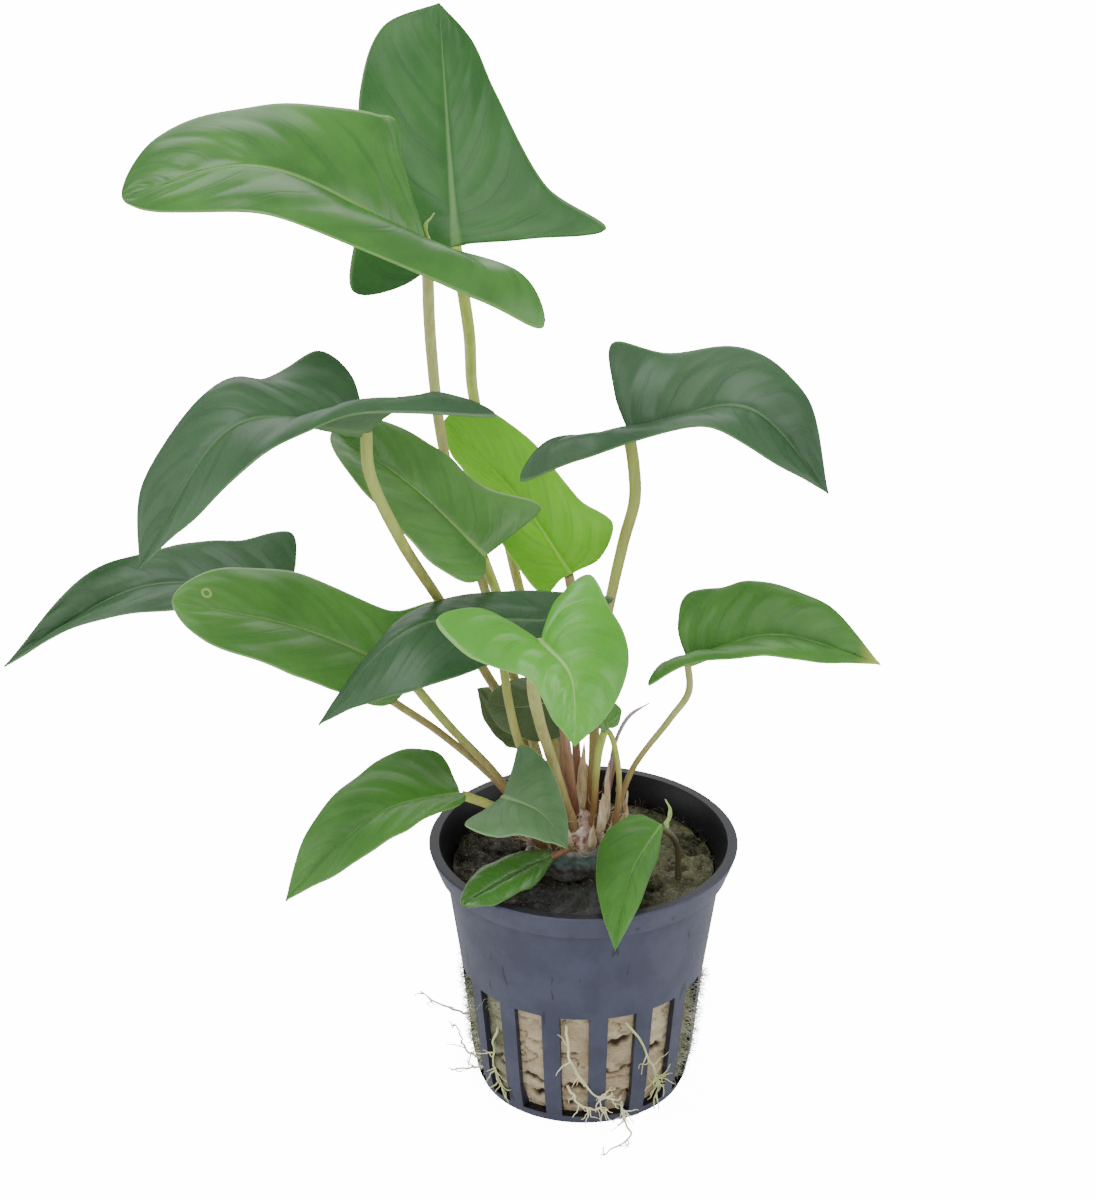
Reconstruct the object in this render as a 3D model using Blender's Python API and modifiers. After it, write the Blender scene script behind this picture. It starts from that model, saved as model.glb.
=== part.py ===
"""An anubias gracilis in its slotted net pot: leaves on long stems, a creeping rhizome,
a plug of rockwool and the roots that have grown out through the slots.

Places and sizes are in millimetres and MM turns them into metres. The origin is the centre
of the pot's underside, +Z is up, and -Y is the side that the plant is looked at from.
"""
import math
from dataclasses import dataclass

import bmesh
import bpy
import numpy as np

MM = 0.001
NAME = "anubias_gracilis"
TOUCH_GAP = 0.35          # between pieces that touch
MERGE = 0.00002           # metres, for modifiers that merge points

# Net pot
RIM_RADIUS = 27.5
POT_HEIGHT = 48.5
LIP_WIDTH = 2.1
BAND_HEIGHT = 4.7
WALL = 1.0
FLOOR = 1.2
FLOOR_EDGE = 0.6          # from the foot's edge in to the edge of the floor inside
LIP_STEP = 1.8            # how much wider the mouth is than the throat under the band
FOOT_RADIUS = 17.4
SLOT_COUNT = 16
SLOT_ANGLE = 13.8         # degrees that each wall slot spans
SLOT_TURN = -4.4          # degrees from -Y to the middle of the first slot
SLOT_FOOT = 2.4
SLOT_TOP = 24.7
DRAIN_COUNT = 8
DRAIN_WIDTH = 2.4
DRAIN_INNER = 6.0
DRAIN_OUTER = 14.5
POT_STEPS = 32
OUTER_WALL = (            # radius and height, from the lip's edge down to the foot
    (RIM_RADIUS, POT_HEIGHT),
    (RIM_RADIUS - 0.2, POT_HEIGHT - 0.9),
    (25.9, POT_HEIGHT - BAND_HEIGHT),
    (24.6, POT_HEIGHT - BAND_HEIGHT - 0.5),
    (22.0, SLOT_TOP),
    (20.2, 7.0),
    (19.2, 2.0),
    (18.6, 0.6),
    (FOOT_RADIUS, 0.0),
)

# Rockwool plug
PLUG_GAP = 0.5
PLUG_FOOT = 1.7
PLUG_TOP = 43.3
PLUG_SIDES = 24
PLUG_BUMP = 0.35
PLUG_DENT = 0.25
PLUG_LEVELS = (PLUG_FOOT, 6.0, 15.0, 24.5, 33.0, PLUG_TOP)

# Rhizome, an ellipsoid dome on the rockwool
CROWN_CENTRE = (-1.5, 0.5)
CROWN_SIZE = (8.6, 6.6, 10.0)
CROWN_FOOT = PLUG_TOP + PLUG_BUMP + TOUCH_GAP + 0.2

# Leaves
BLADE = 0.7               # thickness
RIB_SAMPLES = 50
FOOT_SHARES = (0.0, 0.0, 0.0, 0.14, 0.42, 0.75, 1.0)   # where the margin's seven places meet the rib
RIB_STEP = 0.9            # midrib places nearer than this to its ends join them
STEM_CLEARANCE = 1.4      # from a stem's end to the middle of the blade
STEM_SAMPLES = 9
STEM_TAPER = 0.5          # the stem's top end, as a share of its radius
FOOT_FLARE = 1.2          # and its foot


@dataclass(frozen=True)
class Finish:
    """The plain look of one material."""

    name: str
    colour: tuple
    roughness: float


LEAF_GREEN = Finish("leaf_green", (0.045, 0.16, 0.03), 0.35)
STEM_GREEN = Finish("stem_green", (0.25, 0.3, 0.09), 0.45)
RHIZOME_SKIN = Finish("rhizome_skin", (0.35, 0.2, 0.15), 0.6)
ROOT_SKIN = Finish("root_skin", (0.6, 0.6, 0.32), 0.55)
DRY_SHEATH = Finish("dry_sheath", (0.42, 0.3, 0.17), 0.8)
ROCKWOOL = Finish("rockwool", (0.3, 0.25, 0.17), 0.95)
POT_PLASTIC = Finish("pot_plastic", (0.09, 0.1, 0.14), 0.4)


@dataclass(frozen=True)
class Half:
    """One half of a blade: the tip of its lobe and its widest place.

    flank and shoulder are the margin between lobe and widest place, and from there to the
    tip; inner is the lobe's edge beside the stem. Each is a place, or a number that says how
    far the margin swells there (flank in millimetres, the others as a share of the run).
    """

    lobe: tuple
    side: tuple
    flank: object = 1.0
    shoulder: object = 0.13
    inner: object = 0.2


@dataclass(frozen=True)
class Leaf:
    """A blade: where the stem meets it, the middle of its midrib, its tip and its halves."""

    name: str
    base: tuple
    mid: tuple
    tip: tuple
    left: Half
    right: Half
    belly: float = 0.8    # how far each half bulges between midrib and margin
    pointed: bool = True
    columns: int = 3


@dataclass(frozen=True)
class Stem:
    """A stem from the rhizome, or from foot when it is a place, up to the leaf's base."""

    name: str
    leaf: str
    radius: float
    foot: tuple
    via: tuple


LEAVES = (
    Leaf("top_rear", base=(-22, 18, 154), mid=(-23.5, 33, 171), tip=(-25, 44, 188.5),
         left=Half((-39.5, 18, 145.5), (-38.5, 36, 175.5), flank=(-38, 26, 160), shoulder=(-34.5, 42, 185),
                   inner=(-31, 17, 147)),
         right=Half((3.5, 16, 157.5), (-15, 36, 174.5), flank=(-6.5, 25, 162),
                    shoulder=(-19.5, 41, 183), inner=(-9, 17, 155.5))),
    Leaf("top_front", base=(-26, 0, 160.5), mid=(-53, -6, 176), tip=(-74.5, -8, 171.5),
         left=Half((-7, -10, 150), (-49, -18, 171.5), flank=(-18, -13, 156),
                   shoulder=(-69.5, -13, 171), inner=(-10, -5, 157)),
         right=Half((-31.5, 12, 178), (-53, 9, 181.5), flank=(-35.5, 12, 179),
                    shoulder=(-70, 1, 178), inner=(-30, 8, 171.5)),
         belly=1.0, pointed=False),
    Leaf("upper_left", base=(-36, -16, 134.5), mid=(-56, -22, 138), tip=(-71.5, -36, 119),
         left=Half((-14.5, -22, 139.5), (-51.5, -33, 137), flank=(-38, -22, 139.5),
                   shoulder=(-63, -37, 127.5), inner=(-25, -16, 141)),
         right=Half((-44, -4, 143.5), (-58.5, -12, 142), flank=(-52.5, -9, 140.5),
                    shoulder=(-71.5, -25, 129), inner=(-38.5, -8, 140.5)),
         belly=1.5),
    Leaf("centre", base=(-17, -4, 106), mid=(-29, 2, 116), tip=(-43, 8, 124),
         left=Half((-20, -12, 105), (-33, -10, 116.5), flank=(-26.5, -13, 110), shoulder=(-41.5, 0, 122)),
         right=Half((-7.5, 2, 112.5), (-25, 10, 119.5), flank=(-17, 7, 114), shoulder=(-35.5, 11, 125),
                    inner=(-12.5, -1, 108.5)),
         pointed=False),
    Leaf("centre_rear", base=(-2.5, 10, 96), mid=(-10.5, 18, 105.5), tip=(-24.5, 26, 118.5),
         left=Half((-7, 4, 95), (-20, 17, 111), flank=(-12.5, 7, 100.5), shoulder=(-24, 23, 115),
                   inner=(-4, 7, 96.5)),
         right=Half((5, 14, 104), (-8.5, 26, 113.5), flank=(-0.5, 19, 106), shoulder=(-18.5, 29, 119.5)),
         pointed=False),
    Leaf("upper_right", base=(7.5, 4, 125), mid=(27, 0, 131.5), tip=(40.5, -8, 119.5),
         left=Half((4.5, 12, 138.5), (28, 10, 138), flank=(13, 13, 136.5), shoulder=(37, 2, 133),
                   inner=(5, 8, 131)),
         right=Half((-11, -6, 121), (19, -8, 131.5), flank=(-0.5, -3, 123.5),
                    shoulder=(31, -11, 126.5), inner=(-6.5, -1, 126)),
         belly=1.2),
    Leaf("far_left", base=(-52, 14, 90.5), mid=(-78, 14, 91.5), tip=(-101.5, 4, 81),
         left=Half((-44, 6, 90.5), (-73, 6, 91), flank=(-59, 6, 92), shoulder=(-89, 4, 88.5)),
         right=Half((-52, 24, 97.5), (-72.5, 22, 96), flank=(-61.5, 22, 97), shoulder=(-87.5, 14, 94),
                    inner=(-51, 20, 94))),
    Leaf("mid_left", base=(-31, -2, 83), mid=(-49, -3, 92), tip=(-70, -8, 99.5),
         left=Half((-34.5, -8, 79.5), (-51, -14, 89.5), flank=(-41.5, -12, 84), shoulder=(-65, -12, 94.5)),
         right=Half((-25.5, 8, 91.5), (-51, 6, 98.5), flank=(-33.5, 5, 91.5), shoulder=(-65, -1, 101.5),
                    inner=(-27, 3, 86.5)),
         pointed=False),
    Leaf("lower_dark", base=(-7, -6, 95), mid=(-29, -16, 98.5), tip=(-44.5, -26, 85.5),
         left=Half((-2.5, -10, 89), (-27.5, -26, 92), flank=(-14.5, -18, 93), shoulder=(-36.5, -27, 90)),
         right=Half((5, -1, 96.5), (-28, -8, 98.5), flank=(-12, -2, 98.5), shoulder=(-38, -17, 92),
                    inner=(-1, -2, 94)),
         belly=1.0),
    Leaf("front", base=(-7.5, -22, 99), mid=(-2.5, -34, 98), tip=(-2, -42, 90),
         left=Half((0.5, -14, 107.5), (7, -24, 97.5), flank=(3.5, -16, 103.5), shoulder=(4, -34, 92.5),
                   inner=(-5, -16, 103.5)),
         right=Half((-24.5, -28, 106), (-9.5, -34, 98), flank=(-19.5, -33, 102),
                    shoulder=(-5.5, -39, 93.5), inner=(-18, -24, 106)),
         belly=1.0),
    Leaf("right", base=(18, 2, 83), mid=(32.5, 0, 89), tip=(51, -4, 85.5),
         left=Half((18, 11, 91.5), (31, 8, 95.5), flank=(23.5, 10, 93.5), shoulder=(42, 3, 93.5),
                   inner=(16.5, 6, 87.5)),
         right=Half((11, -4, 81.5), (30, -9, 89.5), flank=(18, -4, 85.5), shoulder=(40, -8, 88),
                    inner=(14, 0, 84)),
         belly=1.2),
    Leaf("inner", base=(-4.5, 1, 76), mid=(-11, -1, 75.5), tip=(-17, -1, 76),
         left=Half((-4, -3, 71), (-12, -4, 71.5)),
         right=Half((-6.5, 5, 77.5), (-13.5, 3, 78.5)),
         columns=2),
    Leaf("inner_rear", base=(-9, 12, 62.5), mid=(-15, 13, 66.5), tip=(-19, 14, 71.5),
         left=Half((-9.5, 9, 62), (-15, 9, 63.5)),
         right=Half((-7.5, 16, 64), (-14, 17, 68.5)),
         columns=2),
    Leaf("small_rear", base=(4, -2, 72), mid=(3, 0, 74.5), tip=(1, 2, 77.5),
         left=Half((2.5, -6, 74.5), (1, -4, 77)),
         right=Half((6.3, 0.2, 72.4), (4.8, 2.7, 75)),
         belly=0.3, columns=2),
    Leaf("lower_left", base=(-21.5, -10, 63.5), mid=(-35, -15, 62.5), tip=(-51.5, -22, 49),
         left=Half((-21.5, -15, 64), (-34, -24, 61.5), flank=(-27.5, -20, 64), shoulder=(-43.5, -26, 56)),
         right=Half((-25.5, -1, 66.5), (-40.5, -6, 64), flank=(-32, -2, 67.5), shoulder=(-48.5, -14, 57),
                    inner=(-23, -5, 64)),
         belly=1.0),
    Leaf("lower_centre", base=(-14, -14, 65), mid=(-7.5, -19, 64.5), tip=(-3, -24, 60.5),
         left=Half((-11, -10, 73), (-4.5, -14, 67), flank=(-7, -11, 71), shoulder=(-3, -19, 63),
                   inner=(-12.5, -11.5, 68.3)),
         right=Half((-20.5, -20, 63), (-11, -24, 63), flank=(-16.5, -23, 62.5),
                    shoulder=(-6.5, -25, 62.5), inner=(-17.5, -16, 63)),
         columns=2),
    Leaf("low_glossy", base=(-6, -12, 52), mid=(-14, -18, 50.5), tip=(-21, -24.5, 49.5),
         left=Half((-6, -14, 51.5), (-11.5, -21, 49.8)),
         right=Half((-7, -9, 51.5), (-16, -14, 52)),
         belly=1.2, pointed=False, columns=2),
    Leaf("lower_right", base=(13.5, -8, 56), mid=(8, -20, 53), tip=(5, -35, 47),
         left=Half((13.5, -9, 55), (11.5, -18, 52), shoulder=(8.5, -28, 50)),
         right=Half((6.5, -8, 57), (2, -18, 52), flank=(3, -12, 55), shoulder=(3, -28, 50)),
         columns=2),
)

STEMS = (
    Stem("top_rear", "top_rear", 0.9, (-3.2, 4.3),
         ((-7, 9, 74), (-12, 22, 90), (-16, 31, 104.5), (-19.5, 32, 120.5), (-20, 24, 136))),
    Stem("top_front", "top_front", 0.85, (-5.3, 1.8),
         ((-9.5, 6, 67.5), (-14, 7, 83.5), (-18.5, 10, 97), (-24, 14, 116), (-26, 9, 138.5))),
    Stem("upper_left", "upper_left", 0.85, (-6.3, 4.4),
         ((-11.2, 7, 66.5), (-17, 6.5, 78), (-24.5, -4.5, 97.5), (-31, -13.5, 114), (-35.5, -17, 127.5))),
    Stem("centre", "centre", 0.75, (-4.6, -1.6),
         ((-8, -5, 61), (-12, -6.5, 74), (-14, -4, 85.5), (-14.5, 0.5, 94))),
    Stem("centre_rear", "centre_rear", 0.75, (-0.6, 4.6), ((-1.5, 7.5, 70), (-1, 10.5, 84))),
    Stem("upper_right", "upper_right", 0.9, (1.6, 2.6),
         ((2.5, 4.5, 80), (6.5, 4.5, 104), (8.5, 4, 113), (8.3, 4, 119))),
    Stem("far_left", "far_left", 0.7, (-8.4, 1.6),
         ((-15, 1.5, 59), (-25.5, 3, 68.5), (-33.5, 5, 73.5), (-44, 9, 80))),
    Stem("mid_left", "mid_left", 0.7, (-8.3, -0.8), ((-15, -3.5, 63), (-23.5, -4, 73.5))),
    Stem("lower_dark", "lower_dark", 0.8, (-1.6, 0.6), ((-2.7, -5, 67), (-4, -6.3, 77), (-5.7, -5.3, 88))),
    Stem("front", "front", 0.95, (-1.9, -2.4), ((-5.5, -8, 68.5), (-7.8, -12, 79), (-8.8, -17.5, 89))),
    Stem("right", "right", 0.55, (5.2, 2.0), ((8.5, 2.5, 61), (15, 2, 71.5), (18.3, 2, 77))),
    Stem("inner", "inner", 0.5, (-3.4, 1.4), ((-4, 2, 66),)),
    Stem("inner_rear", "inner_rear", 0.5, (-5.0, 6.2), ((-7.5, 9.5, 56),)),
    Stem("small_rear", "small_rear", 0.6, (1.6, -1.2), ((2.2, -3, 64), (2.7, -3, 68.5))),
    Stem("arching", "", 0.5, (5.0, -1.9), ((6.2, -1.8, 59.5), (5.9, -1, 65), (4.6, 0, 69.8), (3.6, 0.6, 70.6))),
    Stem("dry_twig", "", 0.35, (4.3, 0.3), ((4.8, 2, 62.5), (5.8, 2.5, 67.5), (8, 2.5, 72), (11.5, 2.5, 74.6))),
    Stem("old_sheath", "", 0.8, (3.3, 4.2), ((4.3, 4.4, 57), (5.6, 4.6, 63.5))),
    Stem("lower_left", "lower_left", 0.7, (-7.0, -3.2), ((-11, -8, 56.5), (-16, -10.7, 61.3))),
    Stem("lower_centre", "lower_centre", 0.6, (-4.8, -4.2), ((-7.5, -8.5, 56), (-11.5, -11.5, 61.5))),
    Stem("low_glossy", "low_glossy", 0.5, (-1.4, -4.7), ((-3, -9, 51.5),)),
    Stem("lower_right", "lower_right", 0.5, (16.8, -5.0, 44.1), ((16.3, -5.5, 51),)),
)

# Roots: degrees from -Y round the pot, height, and distance out from the wall. Each starts
# in a slot, against the rockwool.
ROOT_RADIUS = 0.4
IN_SLOT = -0.45
ON_WALL = 0.8
ROOT_TIP = 0.6            # a root's end, as a share of its radius
ROOTS = {
    "root_left_high": ((-91, 11.2, IN_SLOT), (-89, 12.0, 0.6), (-83.5, 15.0, 3.8), (-82, 19.2, 8.3)),
    "root_left_mid": ((-70.5, 6.6, IN_SLOT), (-75, 6.8, 1.1), (-82.5, 11.3, 2.8)),
    "root_left_low": ((-68, 5.0, IN_SLOT), (-73, 4.0, 1.4), (-80.5, 2.2, 5.0)),
    "root_slot_left": ((-47, 18.0, IN_SLOT), (-51.7, 10.0, 0.1), (-43.5, 3.4, ON_WALL)),
    "root_front_long": ((-8.3, 23.0, IN_SLOT), (-7.4, 18.0, ON_WALL), (-1.5, 12.0, ON_WALL),
                        (5, 8.4, ON_WALL), (15.5, 6.8, ON_WALL)),
    "root_front_low": ((-8.3, 9.4, IN_SLOT), (-1.5, 6.0, ON_WALL), (12, 4.2, ON_WALL)),
    "root_front_right": ((20.2, 22.9, IN_SLOT), (22.8, 21.4, 0.6), (29, 17.5, 1.0), (36, 10.5, ON_WALL),
                         (39, 6.5, 0.9), (37.8, 2.4, 1.2)),
    "root_floor": ((20.5, 4.9, IN_SLOT), (20.5, 1.9, 2.4), (20, 0.6, 5.0), (6.2, 0.5, 9.4)),
}


def unit(vector):
    """The vector at length one."""
    return vector / max(float(np.linalg.norm(vector)), 1e-9)


def across(vector, run):
    """The direction of vector square to run."""
    along = unit(run)
    return unit(vector - np.dot(vector, along) * along)


def smooth(points, samples, after=None):
    """A centripetal Catmull-Rom curve: samples places on each span between the points.

    Columns after the third ride along with the places, and don't set the pace.
    """
    points = np.asarray(points, float)
    first = 2 * points[0] - points[1]
    last = 2 * points[-1] - points[-2] if after is None else after
    run = np.vstack([first, points, last])
    out = []
    for p0, p1, p2, p3 in zip(run, run[1:], run[2:], run[3:]):
        knots = [0.0]
        for a, b in ((p0, p1), (p1, p2), (p2, p3)):
            knots.append(knots[-1] + max(float(np.linalg.norm((b - a)[:3])), 1e-6) ** 0.5)
        t0, t1, t2, t3 = knots
        for step in range(samples):
            t = t1 + (t2 - t1) * step / samples
            a1 = ((t1 - t) * p0 + (t - t0) * p1) / (t1 - t0)
            a2 = ((t2 - t) * p1 + (t - t1) * p2) / (t2 - t1)
            a3 = ((t3 - t) * p2 + (t - t2) * p3) / (t3 - t2)
            b1 = ((t2 - t) * a1 + (t - t0) * a2) / (t2 - t0)
            b2 = ((t3 - t) * a2 + (t - t1) * a3) / (t3 - t1)
            out.append(((t2 - t) * b1 + (t - t1) * b2) / (t2 - t1))
    out.append(run[-2])
    return np.array(out)


def evenly(points, count):
    """count places at even steps along a smooth curve through the points."""
    dense = smooth(points, 24)
    length = np.concatenate([[0.0], np.cumsum(np.linalg.norm(np.diff(dense, axis=0), axis=1))])
    steps = np.linspace(0.0, length[-1], count)
    return np.stack([np.interp(steps, length, dense[:, axis]) for axis in range(3)], 1)


def margin(leaf, half):
    """The seven places of a half's margin, from the stem round the lobe to the tip."""
    base, mid, tip = (np.asarray(place, float) for place in (leaf.base, leaf.mid, leaf.tip))
    lobe, side = np.asarray(half.lobe, float), np.asarray(half.side, float)
    inner, flank, shoulder = half.inner, half.flank, half.shoulder
    if isinstance(inner, float):
        run = lobe - base
        inner = base + 0.5 * run - inner * np.linalg.norm(run) * across(side - base, run)
    if isinstance(flank, float):
        middle = (lobe + side) / 2
        flank = middle + flank * across(middle - base, side - lobe)
    if isinstance(shoulder, float):
        run = tip - side
        shoulder = side + 0.52 * run + shoulder * np.linalg.norm(run) * across(side - mid, run)
    return np.array([base, inner, lobe, flank, side, shoulder, tip], float)


def blade_rows(leaf, half, other):
    """Rows of places from the midrib out: the lobe's inner edge, then one for each margin place."""
    places = np.column_stack([margin(leaf, half), FOOT_SHARES])
    after = None
    if not leaf.pointed:
        after = np.append(margin(leaf, other)[-2], 2 - FOOT_SHARES[-2])
    edge = smooth(places, leaf.columns, after)
    inner, edge = edge[:2 * leaf.columns + 1, :3], edge[2 * leaf.columns:]
    rib = smooth([leaf.base, leaf.mid, leaf.tip], RIB_SAMPLES)
    shares = np.clip(edge[:, 3], 0, 1)
    feet = np.stack([np.interp(shares, np.linspace(0, 1, len(rib)), rib[:, axis]) for axis in range(3)], 1)
    edge = edge[:, :3]
    forward = unit(np.subtract(leaf.tip, leaf.base))
    up = unit(np.cross(forward, np.subtract(leaf.left.side, leaf.right.side)))
    span = np.linalg.norm(edge - feet, axis=1)
    out = np.linspace(0, 1, leaf.columns + 1)[:, None]
    bend = evenly(inner, leaf.columns + 1) - inner[0] - (inner[-1] - inner[0]) * out
    rows = []
    for foot, end, reach, share in zip(feet, edge, span / span.max(), shares):
        near_lobe = max(0.0, 1 - share / FOOT_SHARES[4]) ** 2
        swell = 4 * out * (1 - out) * leaf.belly * reach * min(1.0, share / FOOT_SHARES[3])
        rows.append(foot + (end - foot) * out + near_lobe * bend + swell * up)
    return rows


def new_object(name, mesh, finish, collection):
    """A mesh object with its own material in the collection."""
    obj = bpy.data.objects.new(name, mesh)
    collection.objects.link(obj)
    material = bpy.data.materials.new(f"{finish.name}_{name}")
    material.use_nodes = True
    shader = material.node_tree.nodes["Principled BSDF"]
    shader.inputs["Base Color"].default_value = (*finish.colour, 1.0)
    shader.inputs["Roughness"].default_value = finish.roughness
    shader.inputs["Metallic"].default_value = 0.0
    material.diffuse_color = (*finish.colour, 1.0)
    obj.data.materials.append(material)
    return obj


def make_leaf(leaf, collection):
    """A blade: both halves lofted from the shared midrib to their margins, then thickened."""
    left = blade_rows(leaf, leaf.left, leaf.right)
    right = blade_rows(leaf, leaf.right, leaf.left)
    shell = bmesh.new()
    base = shell.verts.new(left[0][0] * MM)
    tip = shell.verts.new(left[-1][0] * MM)
    ribs = []
    for row in left:
        foot = row[0]
        near_base = np.linalg.norm(foot - left[0][0]) < RIB_STEP
        near_tip = np.linalg.norm(foot - left[-1][0]) < RIB_STEP
        ribs.append(base if near_base else tip if near_tip else shell.verts.new(foot * MM))
    for rows, turn in ((left, 1), (right, -1)):
        grid = []
        for rib, row in zip(ribs[:-1], rows[:-1]):
            grid.append([rib] + [shell.verts.new(place * MM) for place in row[1:]])
        grid.append([tip] * (leaf.columns + 1))
        for one, two in zip(grid, grid[1:]):
            for column in range(leaf.columns):
                ring = [one[column], two[column], two[column + 1], one[column + 1]]
                corners = list(dict.fromkeys(ring))
                if len(corners) > 2:
                    shell.faces.new(corners if turn < 0 else corners[::-1])
    mesh = bpy.data.meshes.new(f"leaf_{leaf.name}")
    shell.to_mesh(mesh)
    shell.free()
    mesh.shade_smooth()
    obj = new_object(f"leaf_{leaf.name}", mesh, LEAF_GREEN, collection)
    solid = obj.modifiers.new("thickness", "SOLIDIFY")
    solid.thickness = BLADE * MM
    solid.offset = 0.0
    return obj


def make_tube(name, places, radii, finish, collection, sides=1):
    """A tapering tube along the places, with filled caps."""
    curve = bpy.data.curves.new(name, "CURVE")
    curve.dimensions = "3D"
    curve.bevel_depth = MM
    curve.bevel_resolution = sides
    curve.use_fill_caps = True
    spline = curve.splines.new("POLY")
    spline.points.add(len(places) - 1)
    for point, place, radius in zip(spline.points, places, radii):
        point.co = (*(np.asarray(place) * MM), 1.0)
        point.radius = radius
    spline.use_smooth = True
    return new_object(name, curve, finish, collection)


def on_crown(place, towards, radius):
    """The foot over a place on the rhizome, lifted so that a disc facing towards clears it."""
    size = np.array(CROWN_SIZE)
    share = (np.array(place) - CROWN_CENTRE) / size[:2]
    rise = math.sqrt(1 - float(share @ share))
    foot = np.array([*place, CROWN_FOOT + size[2] * rise])
    normal = unit(np.array([*share, rise]) / size)
    slant = np.linalg.norm(np.cross(normal, unit(np.asarray(towards, float) - foot)))
    foot[2] += (TOUCH_GAP + radius * slant) / normal[2]
    return tuple(foot)


def make_stem(stem, leaves, collection):
    """A stem: it stands on the rhizome and ends just short of its blade."""
    foot = stem.foot
    if len(foot) == 2:
        foot = on_crown(foot, stem.via[0], FOOT_FLARE * stem.radius)
    route = [foot, *stem.via]
    if stem.leaf:
        base = np.asarray(leaves[stem.leaf].base, float)
        route.append(tuple(base - STEM_CLEARANCE * unit(base - np.asarray(stem.via[-1], float))))
    places = evenly(route, STEM_SAMPLES)
    radii = [stem.radius] * STEM_SAMPLES
    radii[0] *= FOOT_FLARE
    radii[-1] *= STEM_TAPER
    return make_tube(f"stem_{stem.name}", places, radii, STEM_GREEN, collection)


def wall_radius(height):
    """The pot's outer radius at a height."""
    profile = sorted((z, r) for r, z in OUTER_WALL)
    return float(np.interp(height, [z for z, _ in profile], [r for _, r in profile]))


def make_roots(collection):
    """The roots outside the slots, each a thin tube laid round the pot's wall."""
    for name, places in ROOTS.items():
        route = []
        for degrees, height, out in places:
            angle = math.radians(degrees)
            radius = wall_radius(height) + out
            route.append((radius * math.sin(angle), -radius * math.cos(angle), height))
        count = 2 * len(route) + 1
        radii = [ROOT_RADIUS] * (count - 1) + [ROOT_TIP * ROOT_RADIUS]
        make_tube(name, evenly(route, count), radii, ROOT_SKIN, collection, sides=0)


def inner_wall():
    """The inside of the pot, from the middle of its floor up to the lip."""
    wall = [(radius - WALL, height) for radius, height in OUTER_WALL[3:6]]
    floor = [(0.0, FLOOR), (FOOT_RADIUS - FLOOR_EDGE, FLOOR)]
    mouth = RIM_RADIUS - LIP_WIDTH
    lip = [(mouth - LIP_STEP, POT_HEIGHT - BAND_HEIGHT), (mouth, POT_HEIGHT - 0.4)]
    return floor + wall[::-1] + lip


def wedge(mesh, middle, half_width, inner, outer, foot, top):
    """A cutter block: its ends are arcs of the pot, half_width degrees either side of middle."""
    corners = []
    for radius in (inner, outer):
        for side in (-1, 1):
            angle = math.radians(middle + side * half_width)
            corners.append((radius * math.sin(angle), -radius * math.cos(angle)))
    block = bmesh.ops.create_cube(mesh, size=1.0)["verts"]
    for vert in block:
        index = 2 * (vert.co.y > 0) + (vert.co.x > 0)
        x, y = corners[index]
        vert.co = (x * MM, y * MM, (top if vert.co.z > 0 else foot) * MM)


def bar(mesh, middle, width, inner, outer, foot, top):
    """A cutter block with straight sides, running out from the pot's axis."""
    angle = math.radians(middle)
    outward = np.array([math.sin(angle), -math.cos(angle)])
    sideways = np.array([math.cos(angle), math.sin(angle)])
    block = bmesh.ops.create_cube(mesh, size=1.0)["verts"]
    for vert in block:
        place = outward * (outer if vert.co.y > 0 else inner) + sideways * width * vert.co.x
        vert.co = (place[0] * MM, place[1] * MM, (top if vert.co.z > 0 else foot) * MM)


def make_pot(parts, cutters):
    """The turned pot, with slots cut through its wall and drains through its floor."""
    profile = inner_wall() + [(RIM_RADIUS - LIP_WIDTH + 0.3, POT_HEIGHT)] + list(OUTER_WALL) + [(0.0, 0.0)]
    mesh = bpy.data.meshes.new("net_pot")
    edges = [(i, i + 1) for i in range(len(profile) - 1)]
    mesh.from_pydata([(r * MM, 0.0, z * MM) for r, z in profile], edges, [])
    pot = new_object("net_pot", mesh, POT_PLASTIC, parts)
    turn = pot.modifiers.new("turn", "SCREW")
    turn.steps = turn.render_steps = POT_STEPS
    turn.use_merge_vertices = True
    turn.merge_threshold = MERGE
    turn.use_smooth_shade = True

    shapes = bmesh.new()
    for slot in range(SLOT_COUNT):
        middle = SLOT_TURN + slot * 360 / SLOT_COUNT
        wedge(shapes, middle, SLOT_ANGLE / 2, FOOT_RADIUS - 1.5, RIM_RADIUS, SLOT_FOOT, SLOT_TOP)
    for drain in range(DRAIN_COUNT):
        middle = SLOT_TURN + (drain + 0.5) * 360 / DRAIN_COUNT
        bar(shapes, middle, DRAIN_WIDTH, DRAIN_INNER, DRAIN_OUTER, -1.0, FLOOR + 0.5)
    bmesh.ops.recalc_face_normals(shapes, faces=shapes.faces)
    cutter_mesh = bpy.data.meshes.new("pot_slots")
    shapes.to_mesh(cutter_mesh)
    shapes.free()
    cutter = bpy.data.objects.new("pot_slots", cutter_mesh)
    cutter.hide_render = True
    cutter.display_type = "WIRE"
    cutters.objects.link(cutter)
    cut = pot.modifiers.new("slots", "BOOLEAN")
    cut.operation = "DIFFERENCE"
    cut.object = cutter
    return pot


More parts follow.
